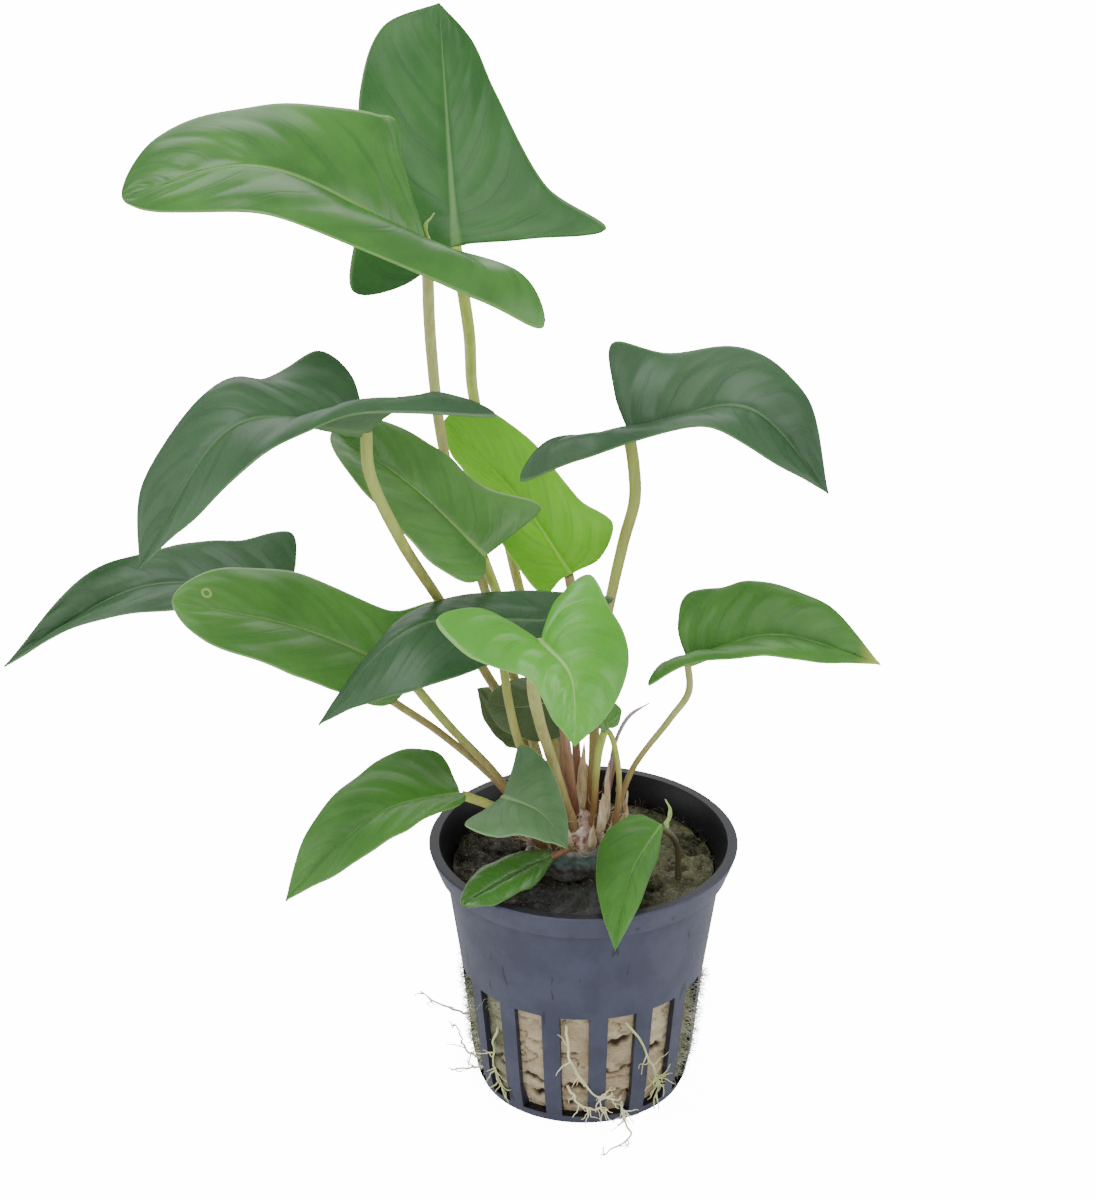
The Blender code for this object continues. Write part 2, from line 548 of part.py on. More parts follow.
def make_rockwool(parts):
    """The plug that fills the pot, with an uneven top and a waist of shallow hollows."""
    profile = sorted((height, radius - PLUG_GAP) for radius, height in inner_wall()[1:])
    heights = [height for height, _ in profile]
    widths = [radius for _, radius in profile]
    plug = bmesh.new()
    rings = []
    for level, height in enumerate(PLUG_LEVELS):
        ring = []
        for step in range(PLUG_SIDES):
            angle = 2 * math.pi * step / PLUG_SIDES
            dent = PLUG_DENT * (1 + math.sin(3 * angle + 2.1 * level))
            radius = float(np.interp(height, heights, widths)) - dent
            rise = PLUG_BUMP * math.sin(2 * angle + 0.6) if height == PLUG_TOP else 0.0
            ring.append(plug.verts.new((radius * math.sin(angle) * MM, -radius * math.cos(angle) * MM,
                                        (height + rise) * MM)))
        rings.append(ring)
    for share in (0.66, 0.33):
        ring = []
        for step in range(PLUG_SIDES):
            angle = 2 * math.pi * step / PLUG_SIDES
            radius = share * widths[-1]
            rise = PLUG_BUMP * math.sin(3 * angle + 5 * share)
            ring.append(plug.verts.new((radius * math.sin(angle) * MM, -radius * math.cos(angle) * MM,
                                        (PLUG_TOP + rise) * MM)))
        rings.append(ring)
    for low, high in zip(rings, rings[1:]):
        for step in range(PLUG_SIDES):
            after = (step + 1) % PLUG_SIDES
            plug.faces.new((low[step], low[after], high[after], high[step]))
    plug.faces.new(rings[-1])
    plug.faces.new(rings[0][::-1])
    bmesh.ops.recalc_face_normals(plug, faces=plug.faces)
    mesh = bpy.data.meshes.new("rockwool")
    plug.to_mesh(mesh)
    plug.free()
    return new_object("rockwool", mesh, ROCKWOOL, parts)


def make_rhizome(parts):
    """The rhizome: an ellipsoid dome, flat where it lies on the rockwool."""
    dome = bmesh.new()
    bmesh.ops.create_uvsphere(dome, u_segments=16, v_segments=9, radius=1.0)
    cut = bmesh.ops.bisect_plane(dome, geom=dome.verts[:] + dome.edges[:] + dome.faces[:],
                                 plane_co=(0, 0, 0), plane_no=(0, 0, -1), clear_outer=True)
    rim = [item for item in cut["geom_cut"] if isinstance(item, bmesh.types.BMEdge)]
    bmesh.ops.contextual_create(dome, geom=rim)
    for vert in dome.verts:
        vert.co.x = (CROWN_CENTRE[0] + vert.co.x * CROWN_SIZE[0]) * MM
        vert.co.y = (CROWN_CENTRE[1] + vert.co.y * CROWN_SIZE[1]) * MM
        vert.co.z = (CROWN_FOOT + vert.co.z * CROWN_SIZE[2]) * MM
    bmesh.ops.recalc_face_normals(dome, faces=dome.faces)
    mesh = bpy.data.meshes.new("rhizome")
    dome.to_mesh(mesh)
    dome.free()
    mesh.shade_smooth()
    return new_object("rhizome", mesh, RHIZOME_SKIN, parts)


def main():
    """Clears the scene and builds every piece."""
    for obj in list(bpy.data.objects):
        bpy.data.objects.remove(obj, do_unlink=True)
    parts = bpy.data.collections.new(NAME)
    cutters = bpy.data.collections.new(f"{NAME}_cutters")
    for collection in (parts, cutters):
        bpy.context.scene.collection.children.link(collection)
    make_pot(parts, cutters)
    make_rockwool(parts)
    make_rhizome(parts)
    leaves = {leaf.name: leaf for leaf in LEAVES}
    for leaf in LEAVES:
        make_leaf(leaf, parts)
    for stem in STEMS:
        make_stem(stem, leaves, parts)
    make_roots(parts)


main()
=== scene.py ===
"""The finished look of an anubias gracilis growing in its slotted net pot.

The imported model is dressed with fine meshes: blades with their veins, stems, the rhizome with
its sheaths, rockwool, roots and the moulded pot. Places are in millimetres along the frame's
axes, and MM turns them into metres. A leaf's places are those that its solid is lofted from.
"""

import logging
import math
from collections.abc import Callable
from dataclasses import dataclass
from enum import Enum
from functools import cached_property

import bpy
import numpy as np
from mathutils import Euler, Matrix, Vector, noise


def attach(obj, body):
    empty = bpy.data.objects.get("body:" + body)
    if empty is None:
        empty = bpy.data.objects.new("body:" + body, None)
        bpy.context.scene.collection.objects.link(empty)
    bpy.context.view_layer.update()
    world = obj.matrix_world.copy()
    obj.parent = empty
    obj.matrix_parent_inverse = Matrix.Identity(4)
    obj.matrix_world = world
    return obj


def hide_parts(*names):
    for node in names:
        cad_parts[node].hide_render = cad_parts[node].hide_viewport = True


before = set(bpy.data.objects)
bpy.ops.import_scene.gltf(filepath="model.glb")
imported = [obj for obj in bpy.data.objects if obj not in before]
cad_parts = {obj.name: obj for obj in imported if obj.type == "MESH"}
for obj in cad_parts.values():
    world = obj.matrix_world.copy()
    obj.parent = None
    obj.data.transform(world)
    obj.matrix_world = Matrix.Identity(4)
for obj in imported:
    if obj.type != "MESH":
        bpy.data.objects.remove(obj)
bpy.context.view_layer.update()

MM = 0.001
BODY = "root"
FINE_BUMP = 0.0001
VEIN_CURVE = 1.5
VEIN_STAGGER = 0.03
Place = tuple[float, float, float]
Colour = tuple[float, float, float]
Array = np.ndarray
Material, Mesh, Piece = bpy.types.Material, bpy.types.Mesh, bpy.types.Object
Node, Socket, Tree = bpy.types.Node, bpy.types.NodeSocket, bpy.types.NodeTree
Sockets = bpy.types.NodeInputs | bpy.types.NodeOutputs
log = logging.getLogger("anubias_gracilis")


# Shared curve sums

def unit(vector: Array) -> Array:
    """Gives the vector at length one."""
    return vector / max(float(np.linalg.norm(vector)), 1e-9)


def across(vector: Array, run: Array) -> Array:
    """Gives the direction of a vector square to a run, at length one."""
    along = unit(run)
    return unit(vector - np.dot(vector, along) * along)


def round_axis(radius: float, turn: float, height: float) -> Place:
    """Gives the place at a radius and height, turned round the pot's axis from the front."""
    return radius * math.sin(turn), -radius * math.cos(turn), height


def smooth(points: Array, samples: int, after: Array | None = None) -> Array:
    """Runs a centripetal Catmull-Rom curve through the points.

    Args:
        points: One row for each point; columns after the third ride along.
        samples: Places on each span between two points.
        after: The point that the curve heads for past its end.

    Returns:
        The places along the curve.
    """
    points = np.asarray(points, float)
    first = 2 * points[0] - points[1]
    last = 2 * points[-1] - points[-2] if after is None else after
    run = np.vstack([first, points, last])
    out = []
    for p0, p1, p2, p3 in zip(run, run[1:], run[2:], run[3:]):
        t1 = max(float(np.linalg.norm((p1 - p0)[:3])), 1e-6) ** 0.5
        t2 = t1 + max(float(np.linalg.norm((p2 - p1)[:3])), 1e-6) ** 0.5
        t3 = t2 + max(float(np.linalg.norm((p3 - p2)[:3])), 1e-6) ** 0.5
        t = (t1 + (t2 - t1) * np.arange(samples) / samples)[:, None]
        a1 = ((t1 - t) * p0 + t * p1) / t1
        a2 = ((t2 - t) * p1 + (t - t1) * p2) / (t2 - t1)
        a3 = ((t3 - t) * p2 + (t - t2) * p3) / (t3 - t2)
        b1 = ((t2 - t) * a1 + t * a2) / t2
        b2 = ((t3 - t) * a2 + (t - t1) * a3) / (t3 - t1)
        out.append(((t2 - t) * b1 + (t - t1) * b2) / (t2 - t1))
    return np.vstack([*out, run[-2]])


def evenly(points: Array, count: int) -> Array:
    """Lays places at even steps along a smooth curve.

    Args:
        points: The points that the curve runs through.
        count: How many places to lay.

    Returns:
        The places, one a row.
    """
    dense = smooth(points, 24)
    length = np.concatenate([[0.0], np.cumsum(np.linalg.norm(np.diff(dense, axis=0), axis=1))])
    steps = np.linspace(0.0, length[-1], count)
    return np.stack([np.interp(steps, length, dense[:, axis]) for axis in range(3)], 1)


def ramp(value: float | Array, low: float, high: float) -> float | Array:
    """Rises smoothly from nought at low to one at high, or falls where high is the smaller."""
    share = np.clip((value - low) / (high - low), 0, 1)
    return share * share * (3 - 2 * share)


# Meshes and node trees

def place_object(name: str, data: bpy.types.ID) -> Piece:
    """Makes an object and links it to the scene.

    Args:
        name: Its name.
        data: Its mesh, light or camera.

    Returns:
        The new object.
    """
    thing = bpy.data.objects.new(name, data)
    bpy.context.scene.collection.objects.link(thing)
    return thing


def mesh_piece(name: str, verts: Array, faces: list, material: Material) -> Piece:
    """Makes a smooth-shaded mesh object in the scene.

    Args:
        name: The piece's name.
        verts: Its vertices, in millimetres.
        faces: Its faces, as tuples of vertex numbers.
        material: Its finish.

    Returns:
        The new object.
    """
    mesh = bpy.data.meshes.new(name)
    mesh.from_pydata([tuple(v) for v in verts * MM], [], faces)
    mesh.shade_smooth()
    mesh.materials.append(material)
    return place_object(name, mesh)


def point_values(mesh: Mesh, name: str, values: Array) -> None:
    """Stores one number a vertex under the name."""
    attribute = mesh.attributes.new(name, "FLOAT", "POINT")
    attribute.data.foreach_set("value", np.asarray(values, np.float32))


def point_uvs(mesh: Mesh, name: str, places: Array) -> None:
    """Gives the mesh a UV map from one flat place a vertex.

    Args:
        mesh: The mesh to map.
        name: The map's name.
        places: Two numbers for each vertex.
    """
    corners = np.zeros(len(mesh.loops), np.int32)
    mesh.loops.foreach_get("vertex_index", corners)
    layer = mesh.uv_layers.new(name=name)
    layer.data.foreach_set("uv", np.asarray(places, np.float32)[corners].ravel())


def grid_faces(rows: int, columns: int, start: int = 0, closed: bool = False) -> list:
    """Lists the quads of a grid of vertices laid out row by row.

    Args:
        rows: Rows of vertices.
        columns: Vertices in a row.
        start: The first vertex's number.
        closed: Whether each row's last vertex meets its first.

    Returns:
        The faces.
    """
    faces = []
    span = columns if closed else columns - 1
    for row in range(rows - 1):
        for column in range(span):
            a = start + row * columns + column
            b = start + row * columns + (column + 1) % columns
            faces.append((a, b, b + columns, a + columns))
    return faces


def shell_faces(top: list, ring: list, count: int) -> list:
    """Closes two like sheets of vertices into a thin shell.

    Args:
        top: The first sheet's faces.
        ring: The numbers of the vertices along its edge, in order.
        count: Vertices in a sheet.

    Returns:
        The faces of both sheets and of the rim between them.
    """
    under = [tuple(count + i for i in reversed(face)) for face in top]
    rim = [(a, a + count, b + count, b) for a, b in zip(ring, ring[1:] + ring[:1])]
    return top + under + rim


def capped_faces(rings: int, around: int) -> list:
    """Lists the faces of a stack of rings that is closed by a flat face at each end.

    Args:
        rings: How many rings.
        around: Vertices in a ring.

    Returns:
        The faces.
    """
    last = (rings - 1) * around
    caps = [tuple(reversed(range(around))), tuple(range(last, last + around))]
    return grid_faces(rings, around, closed=True) + caps


class Wiring:
    """Adds nodes to one tree and links them."""

    def __init__(self, tree: Tree) -> None:
        """Keeps the tree that the nodes go into."""
        self.tree = tree

    def add(self, kind: str, inputs: dict | None = None, **settings: object) -> Node:
        """Adds a node.

        Args:
            kind: The node's type.
            inputs: Socket name or number to a value, or to the socket that feeds it.
            **settings: The node's own settings.

        Returns:
            The new node.
        """
        node = self.tree.nodes.new(kind)
        for name, value in settings.items():
            setattr(node, name, value)
        for key, value in (inputs or {}).items():
            self.feed(node.inputs[key], value)
        return node

    def feed(self, socket: Socket, value: object) -> None:
        """Links a socket to its source, or sets its value.

        Args:
            socket: The input socket.
            value: A value, or an output socket.
        """
        if isinstance(value, Socket):
            self.tree.links.new(value, socket)
        else:
            socket.default_value = value

    def sum(self, operation: str, *values: object) -> Socket:
        """Adds a maths node.

        Args:
            operation: The sum that it does.
            *values: Numbers or sockets.

        Returns:
            The node's result.
        """
        node = self.tree.nodes.new("ShaderNodeMath")
        node.operation = operation
        for socket, value in zip(node.inputs, values):
            self.feed(socket, value)
        return node.outputs[0]

    def plus(self, one: object, other: object) -> Socket:
        """Adds two numbers or sockets."""
        return self.sum("ADD", one, other)

    def minus(self, one: object, other: object) -> Socket:
        """Takes the second number or socket from the first."""
        return self.sum("SUBTRACT", one, other)

    def times(self, one: object, other: object) -> Socket:
        """Multiplies two numbers or sockets."""
        return self.sum("MULTIPLY", one, other)

    def blend(self, share: object, low: object, high: object, mode: str = "MIX") -> Socket:
        """Mixes two colours.

        Args:
            share: How much of the second colour shows.
            low: The first colour, or its socket.
            high: The second colour, or its socket.
            mode: How they mix.

        Returns:
            The mixed colour.
        """
        node = self.tree.nodes.new("ShaderNodeMix")
        node.data_type = "RGBA"
        node.blend_type = mode
        node.clamp_factor = True
        for socket, value in ((node.inputs[0], share), (node.inputs[6], low), (node.inputs[7], high)):
            self.feed(socket, (*value, 1.0) if isinstance(value, tuple) and len(value) == 3 else value)
        return node.outputs[2]

    def coats(self, colour: object, *coats: tuple) -> Socket:
        """Lays coats over a colour, each a share and the colour that it brings.

        Args:
            colour: The first colour.
            *coats: The share and the colour of each coat, in order.

        Returns:
            The colour on top.
        """
        for share, shade in coats:
            colour = self.blend(share, colour, shade)
        return colour

    def remap(self, value: object, low: float, high: float, to_low: float = 0.0,
              to_high: float = 1.0) -> Socket:
        """Maps a number smoothly from one range to another.

        Args:
            value: The number's socket.
            low: The first range's start.
            high: Its end.
            to_low: The second range's start.
            to_high: Its end.

        Returns:
            The mapped number.
        """
        node = self.tree.nodes.new("ShaderNodeMapRange")
        node.interpolation_type = "SMOOTHSTEP"
        for socket, item in zip(node.inputs, (value, low, high, to_low, to_high)):
            self.feed(socket, item)
        return node.outputs[0]

    def noise(self, vector: object, scale: object, detail: float = 3.0, roughness: float = 0.5) -> Socket:
        """Reads a noise texture at a vector, with so many finer layers of such strength."""
        return self.add("ShaderNodeTexNoise", {"Vector": vector, "Scale": scale, "Detail": detail,
                                               "Roughness": roughness}).outputs[0]


def new_group(name: str, kind: str, inputs: dict, outputs: dict) -> tuple:
    """Starts a node group with named sockets.

    Args:
        name: The group's name.
        kind: ShaderNodeTree or GeometryNodeTree.
        inputs: Socket name to its type, or to a tuple of type and default.
        outputs: Socket name to its type.

    Returns:
        The tree, its Wiring, the sockets that give its inputs and the ones that take its results.
    """
    tree = bpy.data.node_groups.new(name, kind)
    for label, spec in inputs.items():
        socket_type, value = spec if isinstance(spec, tuple) else (spec, None)
        socket = tree.interface.new_socket(label, in_out="INPUT", socket_type=socket_type)
        if value is not None:
            socket.default_value = value
    for label, socket_type in outputs.items():
        tree.interface.new_socket(label, in_out="OUTPUT", socket_type=socket_type)
    wiring = Wiring(tree)
    return tree, wiring, wiring.add("NodeGroupInput").outputs, wiring.add("NodeGroupOutput").inputs


FLOAT = "NodeSocketFloat"
INTEGER = "NodeSocketInt"
VECTOR = "NodeSocketVector"
GEOMETRY = "NodeSocketGeometry"
MATERIAL = "NodeSocketMaterial"


# Effects that several finishes share

def vein_group() -> Tree:
    """Builds the veins of a blade, read from its UV map.

    Along the map's first axis lie the rows from lobe to tip, and its second axis runs from one margin over
    the midrib, at a half, to the other. The valley output is painted shade that darkens the grooves along the
    side veins.

    Returns:
        The node group.
    """
    tree, w, given, result = new_group(
        "blade_veins", "ShaderNodeTree",
        {"Map": VECTOR, "Count": FLOAT, "Sweep": FLOAT, "Rib Width": FLOAT},
        {"Veins": FLOAT, "Valleys": FLOAT, "Stripes": FLOAT, "Rib": FLOAT, "Margin": FLOAT, "Along": FLOAT})
    parts = w.add("ShaderNodeSeparateXYZ", {0: given["Map"]})
    along = parts.outputs[0]
    side = w.minus(w.times(parts.outputs[1], 2.0), 1.0)
    out = w.sum("ABSOLUTE", side)
    wobble = w.noise(given["Map"], 5.0, 1.0)
    sweep = w.times(w.sum("POWER", out, VEIN_CURVE), given["Sweep"])
    phase = w.minus(along, sweep)
    phase = w.plus(phase, w.times(w.minus(wobble, 0.5), 0.05))
    phase = w.plus(phase, w.times(w.sum("SIGN", side), VEIN_STAGGER))
    turn = w.times(phase, given["Count"])
    near = w.sum("ABSOLUTE", w.minus(w.sum("FRACT", turn), 0.5))
    fade = w.remap(out, 0.55, 0.95, 1.0, 0.0)
    line = w.sum("DIVIDE", near, w.sum("DIVIDE", 0.018, w.plus(out, 0.2)))
    veins = w.times(w.remap(line, 0.3, 1.8, 1.0, 0.0), fade)
    # Painted shade: the grooves along the side veins, where the relief sinks, take the leaf's deep colour.
    valley_shade = w.times(w.remap(near, 0.13, 0.0), fade)
    fan = w.add("ShaderNodeCombineXYZ", {0: w.times(turn, 5.0), 1: w.times(side, 1.3)})
    stripes = w.remap(w.noise(fan.outputs[0], 1.0, 3.0, 0.6), 0.35, 0.65)
    taper = w.times(given["Rib Width"], w.remap(along, 0.0, 1.0, 1.4, 0.3))
    rib = w.remap(w.sum("DIVIDE", out, taper), 0.4, 1.4, 1.0, 0.0)
    margin = w.remap(out, 0.965, 0.99)
    for label, socket in (("Veins", veins), ("Valleys", valley_shade), ("Stripes", stripes), ("Rib", rib),
                          ("Margin", margin), ("Along", along)):
        w.feed(result[label], socket)
    return tree


def mottle_group() -> Tree:
    """Builds soft blotches with a fine grain over them.

    Returns:
        The node group.
    """
    tree, w, given, result = new_group(
        "mottle", "ShaderNodeTree", {"Vector": VECTOR, "Blotch Scale": FLOAT, "Grain Scale": FLOAT},
        {"Blotches": FLOAT, "Grain": FLOAT})
    blotch = w.noise(given["Vector"], given["Blotch Scale"], 3.0, 0.55)
    grain = w.noise(given["Vector"], given["Grain Scale"], 2.0, 0.6)
    w.feed(result["Blotches"], w.remap(blotch, 0.35, 0.65))
    w.feed(result["Grain"], grain)
    return tree


@dataclass(frozen=True)
class Effects:
    """The shared shader groups."""

    veins: Tree
    mottle: Tree


class Finish:
    """A material in the making: its shader, its wiring, and what most finishes read."""

    def __init__(self, effects: Effects | None, name: str, **constants: object) -> None:
        """Starts the material with its Principled shader.

        Args:
            effects: The shared shader groups; a plain finish needs none.
            name: The material's name.
            **constants: Shader sockets, with underscores for spaces, and their values.
        """
        self.effects = effects
        self.material = bpy.data.materials.new(name)
        self.material.use_nodes = True
        self.shader = self.material.node_tree.nodes["Principled BSDF"]
        for label, value in constants.items():
            self.shader.inputs[label.replace("_", " ")].default_value = value
        self.w = Wiring(self.material.node_tree)

    @cached_property
    def place(self) -> Socket:
        """Where the shaded point lies in the object."""
        return self.w.add("ShaderNodeTexCoord").outputs["Object"]

    @cached_property
    def axes(self) -> tuple:
        """The place across, back and up, in metres."""
        return tuple(self.w.add("ShaderNodeSeparateXYZ", {0: self.place}).outputs)

    def stored(self, name: str) -> Socket:
        """Reads a number that is stored on the mesh."""
        return self.w.add("ShaderNodeAttribute", attribute_name=name).outputs["Fac"]

    def stretched(self, share: float) -> Socket:
        """Gives the place with its height scaled, so that a texture on it is drawn out or flattened."""
        return self.w.add("ShaderNodeMapping", {"Vector": self.place, "Scale": (1.0, 1.0, share)}).outputs[0]

    def group(self, tree: Tree, **values: object) -> Node:
        """Puts a shared group into the material.

        Args:
            tree: The group.
            **values: Its inputs, with underscores for spaces.

        Returns:
            The group node.
        """
        node = self.w.add("ShaderNodeGroup", node_tree=tree)
        for label, value in values.items():
            self.w.feed(node.inputs[label.replace("_", " ")], value)
        return node

    def mottle(self, blotch_scale: float, grain_scale: float, share: float | None = None) -> tuple:
        """Reads the shared mottle.

        Args:
            blotch_scale: The scale of its blotches.
            grain_scale: The scale of its grain.
            share: How the height is scaled first, if it is.

        Returns:
            Its blotches and its grain, from nought to one.
        """
        vector = self.stretched(share) if share else self.place
        mottle = self.group(self.effects.mottle, Vector=vector, Blotch_Scale=blotch_scale,
                            Grain_Scale=grain_scale).outputs
        return mottle["Blotches"], mottle["Grain"]

    def close(self, colour: Socket, rough: Socket | None = None, bump: tuple | None = None) -> Material:
        """Feeds the shader.

        Args:
            colour: The colour.
            rough: The roughness, where it isn't one of the constants.
            bump: The bump's strength, its distance in metres and its height, where there is one.

        Returns:
            The material.
        """
        self.w.feed(self.shader.inputs["Base Color"], colour)
        if rough is not None:
            self.w.feed(self.shader.inputs["Roughness"], rough)
        if bump is not None:
            node = self.w.add("ShaderNodeBump", dict(zip(("Strength", "Distance", "Height"), bump)))
            self.w.feed(self.shader.inputs["Normal"], node.outputs[0])
        return self.material


# Geometry trees

def tube_tree() -> Tree:
    """Builds tubes along a thread of vertices, as thick as its own "thick" values say.

    Returns:
        The Geometry Nodes tree.
    """
    tree, w, given, result = new_group(
        "tubes", "GeometryNodeTree",
        {"Geometry": GEOMETRY, "Sides": (INTEGER, 12), "Bumps": (FLOAT, 0.0), "Bump Scale": (FLOAT, 900.0),
         "Material": MATERIAL}, {"Geometry": GEOMETRY})
    curve = w.add("GeometryNodeMeshToCurve", {0: given["Geometry"]})
    thick = w.add("GeometryNodeInputNamedAttribute", {"Name": "thick"}, data_type="FLOAT")
    ring = w.add("GeometryNodeCurvePrimitiveCircle", {"Resolution": given["Sides"], "Radius": 1.0})
    tube = w.add("GeometryNodeCurveToMesh", {"Curve": curve.outputs[0], "Profile Curve": ring.outputs[0],
                                             "Scale": thick.outputs[0], "Fill Caps": True})
    place = w.add("GeometryNodeInputPosition").outputs[0]
    rough = w.noise(place, given["Bump Scale"], 2.0)
    height = w.times(w.minus(rough, 0.5), given["Bumps"])
    normal = w.add("GeometryNodeInputNormal").outputs[0]
    push = w.add("ShaderNodeVectorMath", {0: normal}, operation="SCALE")
    w.feed(push.inputs["Scale"], height)
    moved = w.add("GeometryNodeSetPosition", {"Geometry": tube.outputs[0], "Offset": push.outputs[0]})
    soft = w.add("GeometryNodeSetShadeSmooth", {"Geometry": moved.outputs[0]})
    close_tree(w, soft.outputs[0], given, result)
    return tree


def fibre_tree() -> Tree:
    """Builds short curved fibres strewn over a surface, thickest where its "fluff" is high.

    Returns:
        The Geometry Nodes tree.
    """
    tree, w, given, result = new_group(
        "fibres", "GeometryNodeTree",
        {"Geometry": GEOMETRY, "Density": (FLOAT, 1000.0), "Length": (FLOAT, 0.003),
         "Thickness": (FLOAT, 0.00006), "Arch": (FLOAT, 0.4), "Lean": (FLOAT, 1.2), "Seed": (INTEGER, 1),
         "Material": MATERIAL}, {"Geometry": GEOMETRY})
    fluff = w.add("GeometryNodeInputNamedAttribute", {"Name": "fluff"}, data_type="FLOAT")
    density = w.times(fluff.outputs[0], given["Density"])
    strewn = w.add("GeometryNodeDistributePointsOnFaces", {"Mesh": given["Geometry"],
                                                           "Density": density, "Seed": given["Seed"]})
    arch = w.add("ShaderNodeCombineXYZ", {0: given["Arch"], 2: 0.5})
    thread = w.add("GeometryNodeCurveQuadraticBezier", {
        "Resolution": 4, "Start": (0.0, 0.0, -0.08), "Middle": arch.outputs[0], "End": (0.0, 0.0, 1.0)})
    ring = w.add("GeometryNodeCurvePrimitiveCircle", {
        "Resolution": 3, "Radius": w.sum("DIVIDE", given["Thickness"], given["Length"])})
    fibre = w.add("GeometryNodeCurveToMesh", {"Curve": thread.outputs[0], "Profile Curve": ring.outputs[0],
                                              "Fill Caps": True})
    lean = given["Lean"]
    back = w.times(lean, -1.0)
    low = w.add("ShaderNodeCombineXYZ", {0: back, 1: back})
    high = w.add("ShaderNodeCombineXYZ", {0: lean, 1: lean, 2: 2 * math.pi})
    seed = given["Seed"]
    tilt = w.add("FunctionNodeRandomValue", {0: low.outputs[0], 1: high.outputs[0], "Seed": seed},
                 data_type="FLOAT_VECTOR")
    turned = w.add("FunctionNodeRotateEuler",
                   {"Rotation": strewn.outputs["Rotation"], "Rotate By": tilt.outputs[0]}, space="LOCAL")
    size = w.add("FunctionNodeRandomValue", {2: 0.5, 3: 1.0, "Seed": seed}, data_type="FLOAT")
    scale = w.times(size.outputs[1], given["Length"])
    spread = w.add("GeometryNodeInstanceOnPoints", {
        "Points": strewn.outputs["Points"], "Instance": fibre.outputs[0], "Rotation": turned.outputs[0],
        "Scale": scale})
    close_tree(w, spread.outputs[0], given, result)
    return tree


def perforation_tree() -> Tree:
    """Cuts slots through a turned wall and drains through its floor.

    Returns:
        The Geometry Nodes tree.
    """
    tree, w, given, result = new_group(
        "perforations", "GeometryNodeTree",
        {"Geometry": GEOMETRY, "Slots": (INTEGER, 16), "Slot Spread": (FLOAT, 0.12),
         "Slot Foot": (FLOAT, 0.0024), "Slot Top": (FLOAT, 0.0247), "Slot Inner": (FLOAT, 0.016),
         "Slot Outer": (FLOAT, 0.0275), "Drains": (INTEGER, 8), "Drain Width": (FLOAT, 0.0024),
         "Drain Inner": (FLOAT, 0.006), "Drain Outer": (FLOAT, 0.0145), "Drain Depth": (FLOAT, 0.0025),
         "Turn": (FLOAT, 0.0), "Material": MATERIAL}, {"Geometry": GEOMETRY})
    block = w.add("GeometryNodeMeshCube", {"Size": (2.0, 1.0, 1.0)})
    place = w.add("ShaderNodeSeparateXYZ", {0: w.add("GeometryNodeInputPosition").outputs[0]}).outputs
    slot = block_between(w, block, place, given, ("Slot Inner", "Slot Outer", "Slot Foot", "Slot Top"),
                         lambda radius: w.times(radius, given["Slot Spread"]))
    drain = block_between(w, block, place, given, ("Drain Inner", "Drain Outer", None, "Drain Depth"),
                          lambda radius: w.times(given["Drain Width"], 0.5))
    slots = ring_of(w, slot, given["Slots"], given["Turn"])
    half_step = w.sum("DIVIDE", math.pi, given["Drains"])
    drains = ring_of(w, drain, given["Drains"], w.plus(given["Turn"], half_step))
    cut = w.add("GeometryNodeMeshBoolean", {"Mesh 1": given["Geometry"]}, operation="DIFFERENCE",
                solver="EXACT")
    w.tree.links.new(slots, cut.inputs["Mesh 2"])
    w.tree.links.new(drains, cut.inputs["Mesh 2"])
    close_tree(w, cut.outputs[0], given, result)
    return tree


def block_between(w: Wiring, block: Node, place: Sockets, given: Sockets, names: tuple,
                  half_width: Callable) -> Socket:
    """Stretches a unit block between two radii and two heights, on the side where -Y is outward.

    Args:
        w: The tree's wiring.
        block: The block's node, two wide and one deep and high.
        place: The parts of its vertices' places.
        given: The tree's inputs.
        names: The inputs for inner and outer radius, foot and top; no foot reaches under the floor.
        half_width: Gives half the block's width from the radius.

    Returns:
        The stretched block.
    """
    inner, outer, foot, top = names
    near = w.sum("GREATER_THAN", place[1], 0.0)
    radius = w.add("ShaderNodeMix", {0: near, 2: given[outer], 3: given[inner]}).outputs[0]
    above = w.sum("GREATER_THAN", place[2], 0.0)
    low = given[foot] if foot else -0.001
    height = w.add("ShaderNodeMix", {0: above, 2: low, 3: given[top]}).outputs[0]
    wide = w.times(place[0], half_width(radius))
    spot = w.add("ShaderNodeCombineXYZ", {0: wide, 1: w.times(radius, -1.0), 2: height})
    moved = w.add("GeometryNodeSetPosition", {"Geometry": block.outputs[0], "Position": spot.outputs[0]})
    return moved.outputs[0]


def ring_of(w: Wiring, shape: Socket, count: object, turn: object) -> Socket:
    """Repeats a shape round the pot's axis.

    Args:
        w: The tree's wiring.
        shape: The shape.
        count: How many times.
        turn: The first one's turn, in radians.

    Returns:
        The repeated shapes, realized.
    """
    spots = w.add("GeometryNodeMeshLine", {"Count": count, "Offset": (0.0, 0.0, 0.0)})
    index = w.add("GeometryNodeInputIndex").outputs[0]
    angle = w.plus(turn, w.sum("DIVIDE", w.times(index, 2 * math.pi), count))
    rotation = w.add("ShaderNodeCombineXYZ", {2: angle})
    copies = w.add("GeometryNodeInstanceOnPoints", {"Points": spots.outputs[0], "Instance": shape,
                                                    "Rotation": rotation.outputs[0]})
    return w.add("GeometryNodeRealizeInstances", {0: copies.outputs[0]}).outputs[0]


def close_tree(w: Wiring, geometry: Socket, given: Sockets, result: Sockets) -> None:
    """Ends a tree: instances are made real and take the finish.

    Args:
        w: The tree's wiring.
        geometry: What the tree has made.
        given: The sockets of its inputs.
        result: The sockets of its results.
    """
    real = w.add("GeometryNodeRealizeInstances", {0: geometry})
    dressed = w.add("GeometryNodeSetMaterial",
                    {"Geometry": real.outputs[0], "Material": given["Material"]})
    w.feed(result["Geometry"], dressed.outputs[0])


